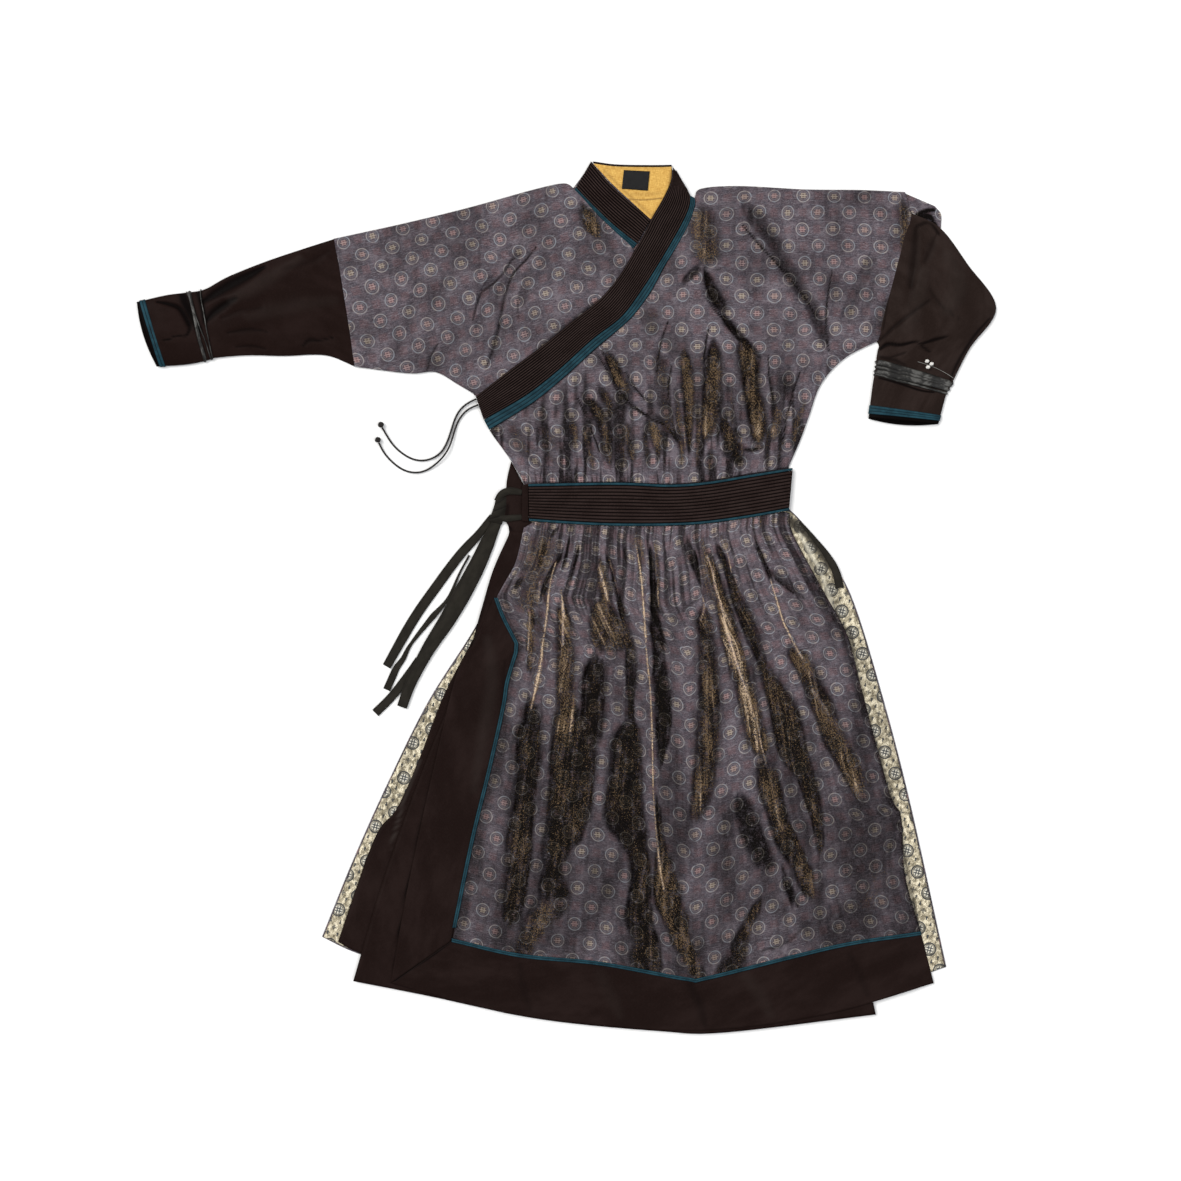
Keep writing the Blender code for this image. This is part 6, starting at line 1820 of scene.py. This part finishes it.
def wrap_path(rows, place_no, slant, grow, wobble=0.0, seed=1, bite=0.0):
    """Closed path of a lace round a sleeve, slanting across it; it bites into the folded edges."""
    points = 160
    phase = np.random.default_rng(seed).uniform(0, 6.28, 3)
    out = []
    for k, turn in enumerate(np.linspace(0, 2 * math.pi, points, endpoint=False)):
        waver = math.sin(3 * turn + phase[0]) + math.sin(5 * turn + phase[1])
        row = section_at(rows, place_no + (slant * math.cos(turn) + wobble * waver / 2))
        point = section_loop(row, points, grow)[k]
        mid, reach = section_middle(row), np.linalg.norm(row[2:4] - row[:2]) / 2
        point[:2] = mid + (point[:2] - mid) * (1 - bite / reach)
        out.append(point)
    return np.array(out)


LACES = (
    # piece, sleeve, row of the sleeve's table, slant in rows, half width, flatness, node
    ("lace_left_1", SLEEVE_LEFT, 4.95, 0.16, 2.6, 0.40, "wrist_lace_left"),
    ("lace_left_2", SLEEVE_LEFT, 4.72, -0.20, 0.9, 0.80, "wrist_lace_left"),
    ("lace_left_3", SLEEVE_LEFT, 4.28, 0.06, 1.0, 0.80, "wrist_cord_left"),
    ("lace_right_1", SLEEVE_RIGHT, 5.02, 0.02, 4.6, 0.24, "wrist_lace_right_1"),
    ("lace_right_2", SLEEVE_RIGHT, 5.38, 0.16, 2.8, 0.36, "wrist_lace_right_1"),
    ("lace_right_3", SLEEVE_RIGHT, 5.78, 0.22, 4.6, 0.24, "wrist_lace_right_2"),
    ("lace_right_4", SLEEVE_RIGHT, 6.16, 0.06, 1.8, 0.50, "wrist_lace_right_2"),
)
BEADS = ((540.0, 352.4, 12.4), (546.8, 348.4, 12.4), (541.4, 343.6, 12.4))


def build_wrist_ties():
    """The laces tied round the wrists, and three beads on a thread at the right one."""
    for number, (name, rows, at, slant, radius_mm, flat, node) in enumerate(LACES):
        thick = radius_mm * flat
        path = wrap_path(rows, at, slant, 0.8 + thick * 0.6, wobble=0.03, seed=number, bite=0.75 * radius_mm)
        path[:, 2] = np.maximum(path[:, 2], thick + 0.1)
        tube_piece(name, node, path, radius_mm, "leather", flat=flat, closed=True)
    for number, centre in enumerate(BEADS, 1):
        knot_ball("wrist_bead_%d" % number, "wrist_knot_right", centre, (3.4, 3.0, 2.9), "bead", lobes=0.26)
    thread = wrap_path(SLEEVE_RIGHT, 4.477, -0.386, 0.6)[39:74]
    tube_piece("bead_thread", "wrist_knot_right", thread, 0.42, "tie_thread", sides=8)


def build_sleeves():
    """Dark lower sleeves and their cuff piping."""
    build_sleeve("left", SLEEVE_LEFT, LEFT_SLEEVE_STROKES, "sleeve")
    build_sleeve("right", SLEEVE_RIGHT, RIGHT_SLEEVE_STROKES, "sleeve_right")
    build_cuff_edge("cuff_edge_left", "cuff_piping_left", SLEEVE_LEFT, 6.80, 9, 2)
    build_cuff_edge("cuff_edge_right", "cuff_piping_right", SLEEVE_RIGHT, 7.72, 11, 3)


# ---------------------------------------------------------------- ties
def ribbon_piece(name, node, centre, widths, low, steps, seed, curl):
    """Flat ribbon with slightly raised selvedges and an uneven lie, its middle raised by curl."""
    grid = ribbon_grid(centre, widths, steps, 10)
    _, u = spread(grid)
    edge = np.minimum(u, 1 - u)
    lie = np.maximum((rolling(grid, seed, 45) * 0.5 + 0.5) * 0.6, 0)
    top = low + THIN + lie + curl * np.sin(math.pi * u) + 0.35 * np.exp(-(edge / 0.07) ** 2)
    shade = np.exp(-((edge - 0.13) / 0.05) ** 2) * 0.5
    # painted shade just inside the selvedges, deeper where the ribbon curls up
    sheet(name, node, grid, top, "ribbon", THIN, cloth=lengthwise(grid), dark=shade + 0.09 * curl)


RIBBONS = (
    # piece, node, middle line, widths along it, underside, steps, seed of its lie, curl
    ("tie_loop_top", "tie_loop_upper", line((-105, 143), (-98, 153), (-88, 158), (-78, 158), (-67, 156)),
     (8, 11, 11, 8), 4.5, 40, 61, 1.5),
    ("tie_loop_bottom", "tie_loop_lower", line((-102, 121), (-92, 117), (-80, 118), (-67, 119)),
     (10, 10, 8), 4.5, 30, 62, 1.5),
    ("ribbon_end_a", "ribbon_a",
     line((-111, 121), (-118, 112), (-133, 92), (-161, 61), (-196, 14), (-230, -35), (-270, -105)),
     (9, 14, 15, 15, 15, 13), 0, 110, 63, 0.4),
    ("ribbon_end_b", "ribbon_b",
     line((-146, 62), (-161, 34), (-178, -3), (-205, -35), (-234, -72), (-245, -93), (-255, -107),
          (-262, -122), (-270, -140)),
     (3, 3, 4, 5, 9, 7, 5, 8, 11, 11), 0, 110, 64, 0.3),
    ("ribbon_end_c", "ribbon_c",
     line((-99, 121), (-106, 108), (-119, 80), (-134, 47), (-155, 7), (-179, -35), (-208, -80),
          (-233, -128), (-247, -166)),
     (12, 22, 26, 27, 24, 20, 17, 15), STEP, 120, 65, 0.8),
    ("ribbon_end_d", "ribbon_d", line((-221, -95), (-238, -119), (-263, -151), (-287, -175)),
     (13, 13, 13), 0, 50, 66, 0.3),
    ("side_tab", "tie_right", line((350, 112), (368, 91), (390, 63), (404, 38), (410, 13)),
     (4, 7, 11, 13), STEP + THIN + SEAM, 60, 67, 0.6),
)


def build_ties():
    """Belt knot with its four ribbon ends and the tab at the right."""
    for ribbon in RIBBONS:
        ribbon_piece(*ribbon)
    grid = patch(line((-106, 148), (-109, 135), (-117, 113)), line((-90, 150), (-91, 130), (-97, 108)),
                 line((-106, 148), (-90, 150)), line((-117, 113), (-97, 108)), 36, 44)
    v, u = spread(grid)
    # the knot's turns, with painted shade between them
    wraps = np.abs(np.sin(3.2 * math.pi * (v + 0.25 * u) + 0.4))
    top = 4.0 + 5.0 * dome(grid, 0.8) + 1.6 * (wraps - 0.5) * ease(dome(grid, 0.5))
    # as thick as it is high, so its underside lies on the floor
    sheet("belt_knot", "tie_knot", grid, top, "ribbon", top, cloth=np.dstack(run_lengths(grid)),
          dark=np.clip(1 - 2.4 * wraps, 0.30, 1))


def main():
    """Build the setting, the cords and then the robe, piece by piece."""
    build_camera()
    build_studio()
    build_cords()
    build_skirt_front()
    build_skirt_back()
    build_skirt_lining()
    build_under_layers()
    build_border()
    build_waist()
    build_bodice_back()
    build_shoulder_fold()
    build_under_front()
    build_over_front()
    build_collar()
    build_neck()
    build_sleeves()
    build_wrist_ties()
    build_ties()


main()
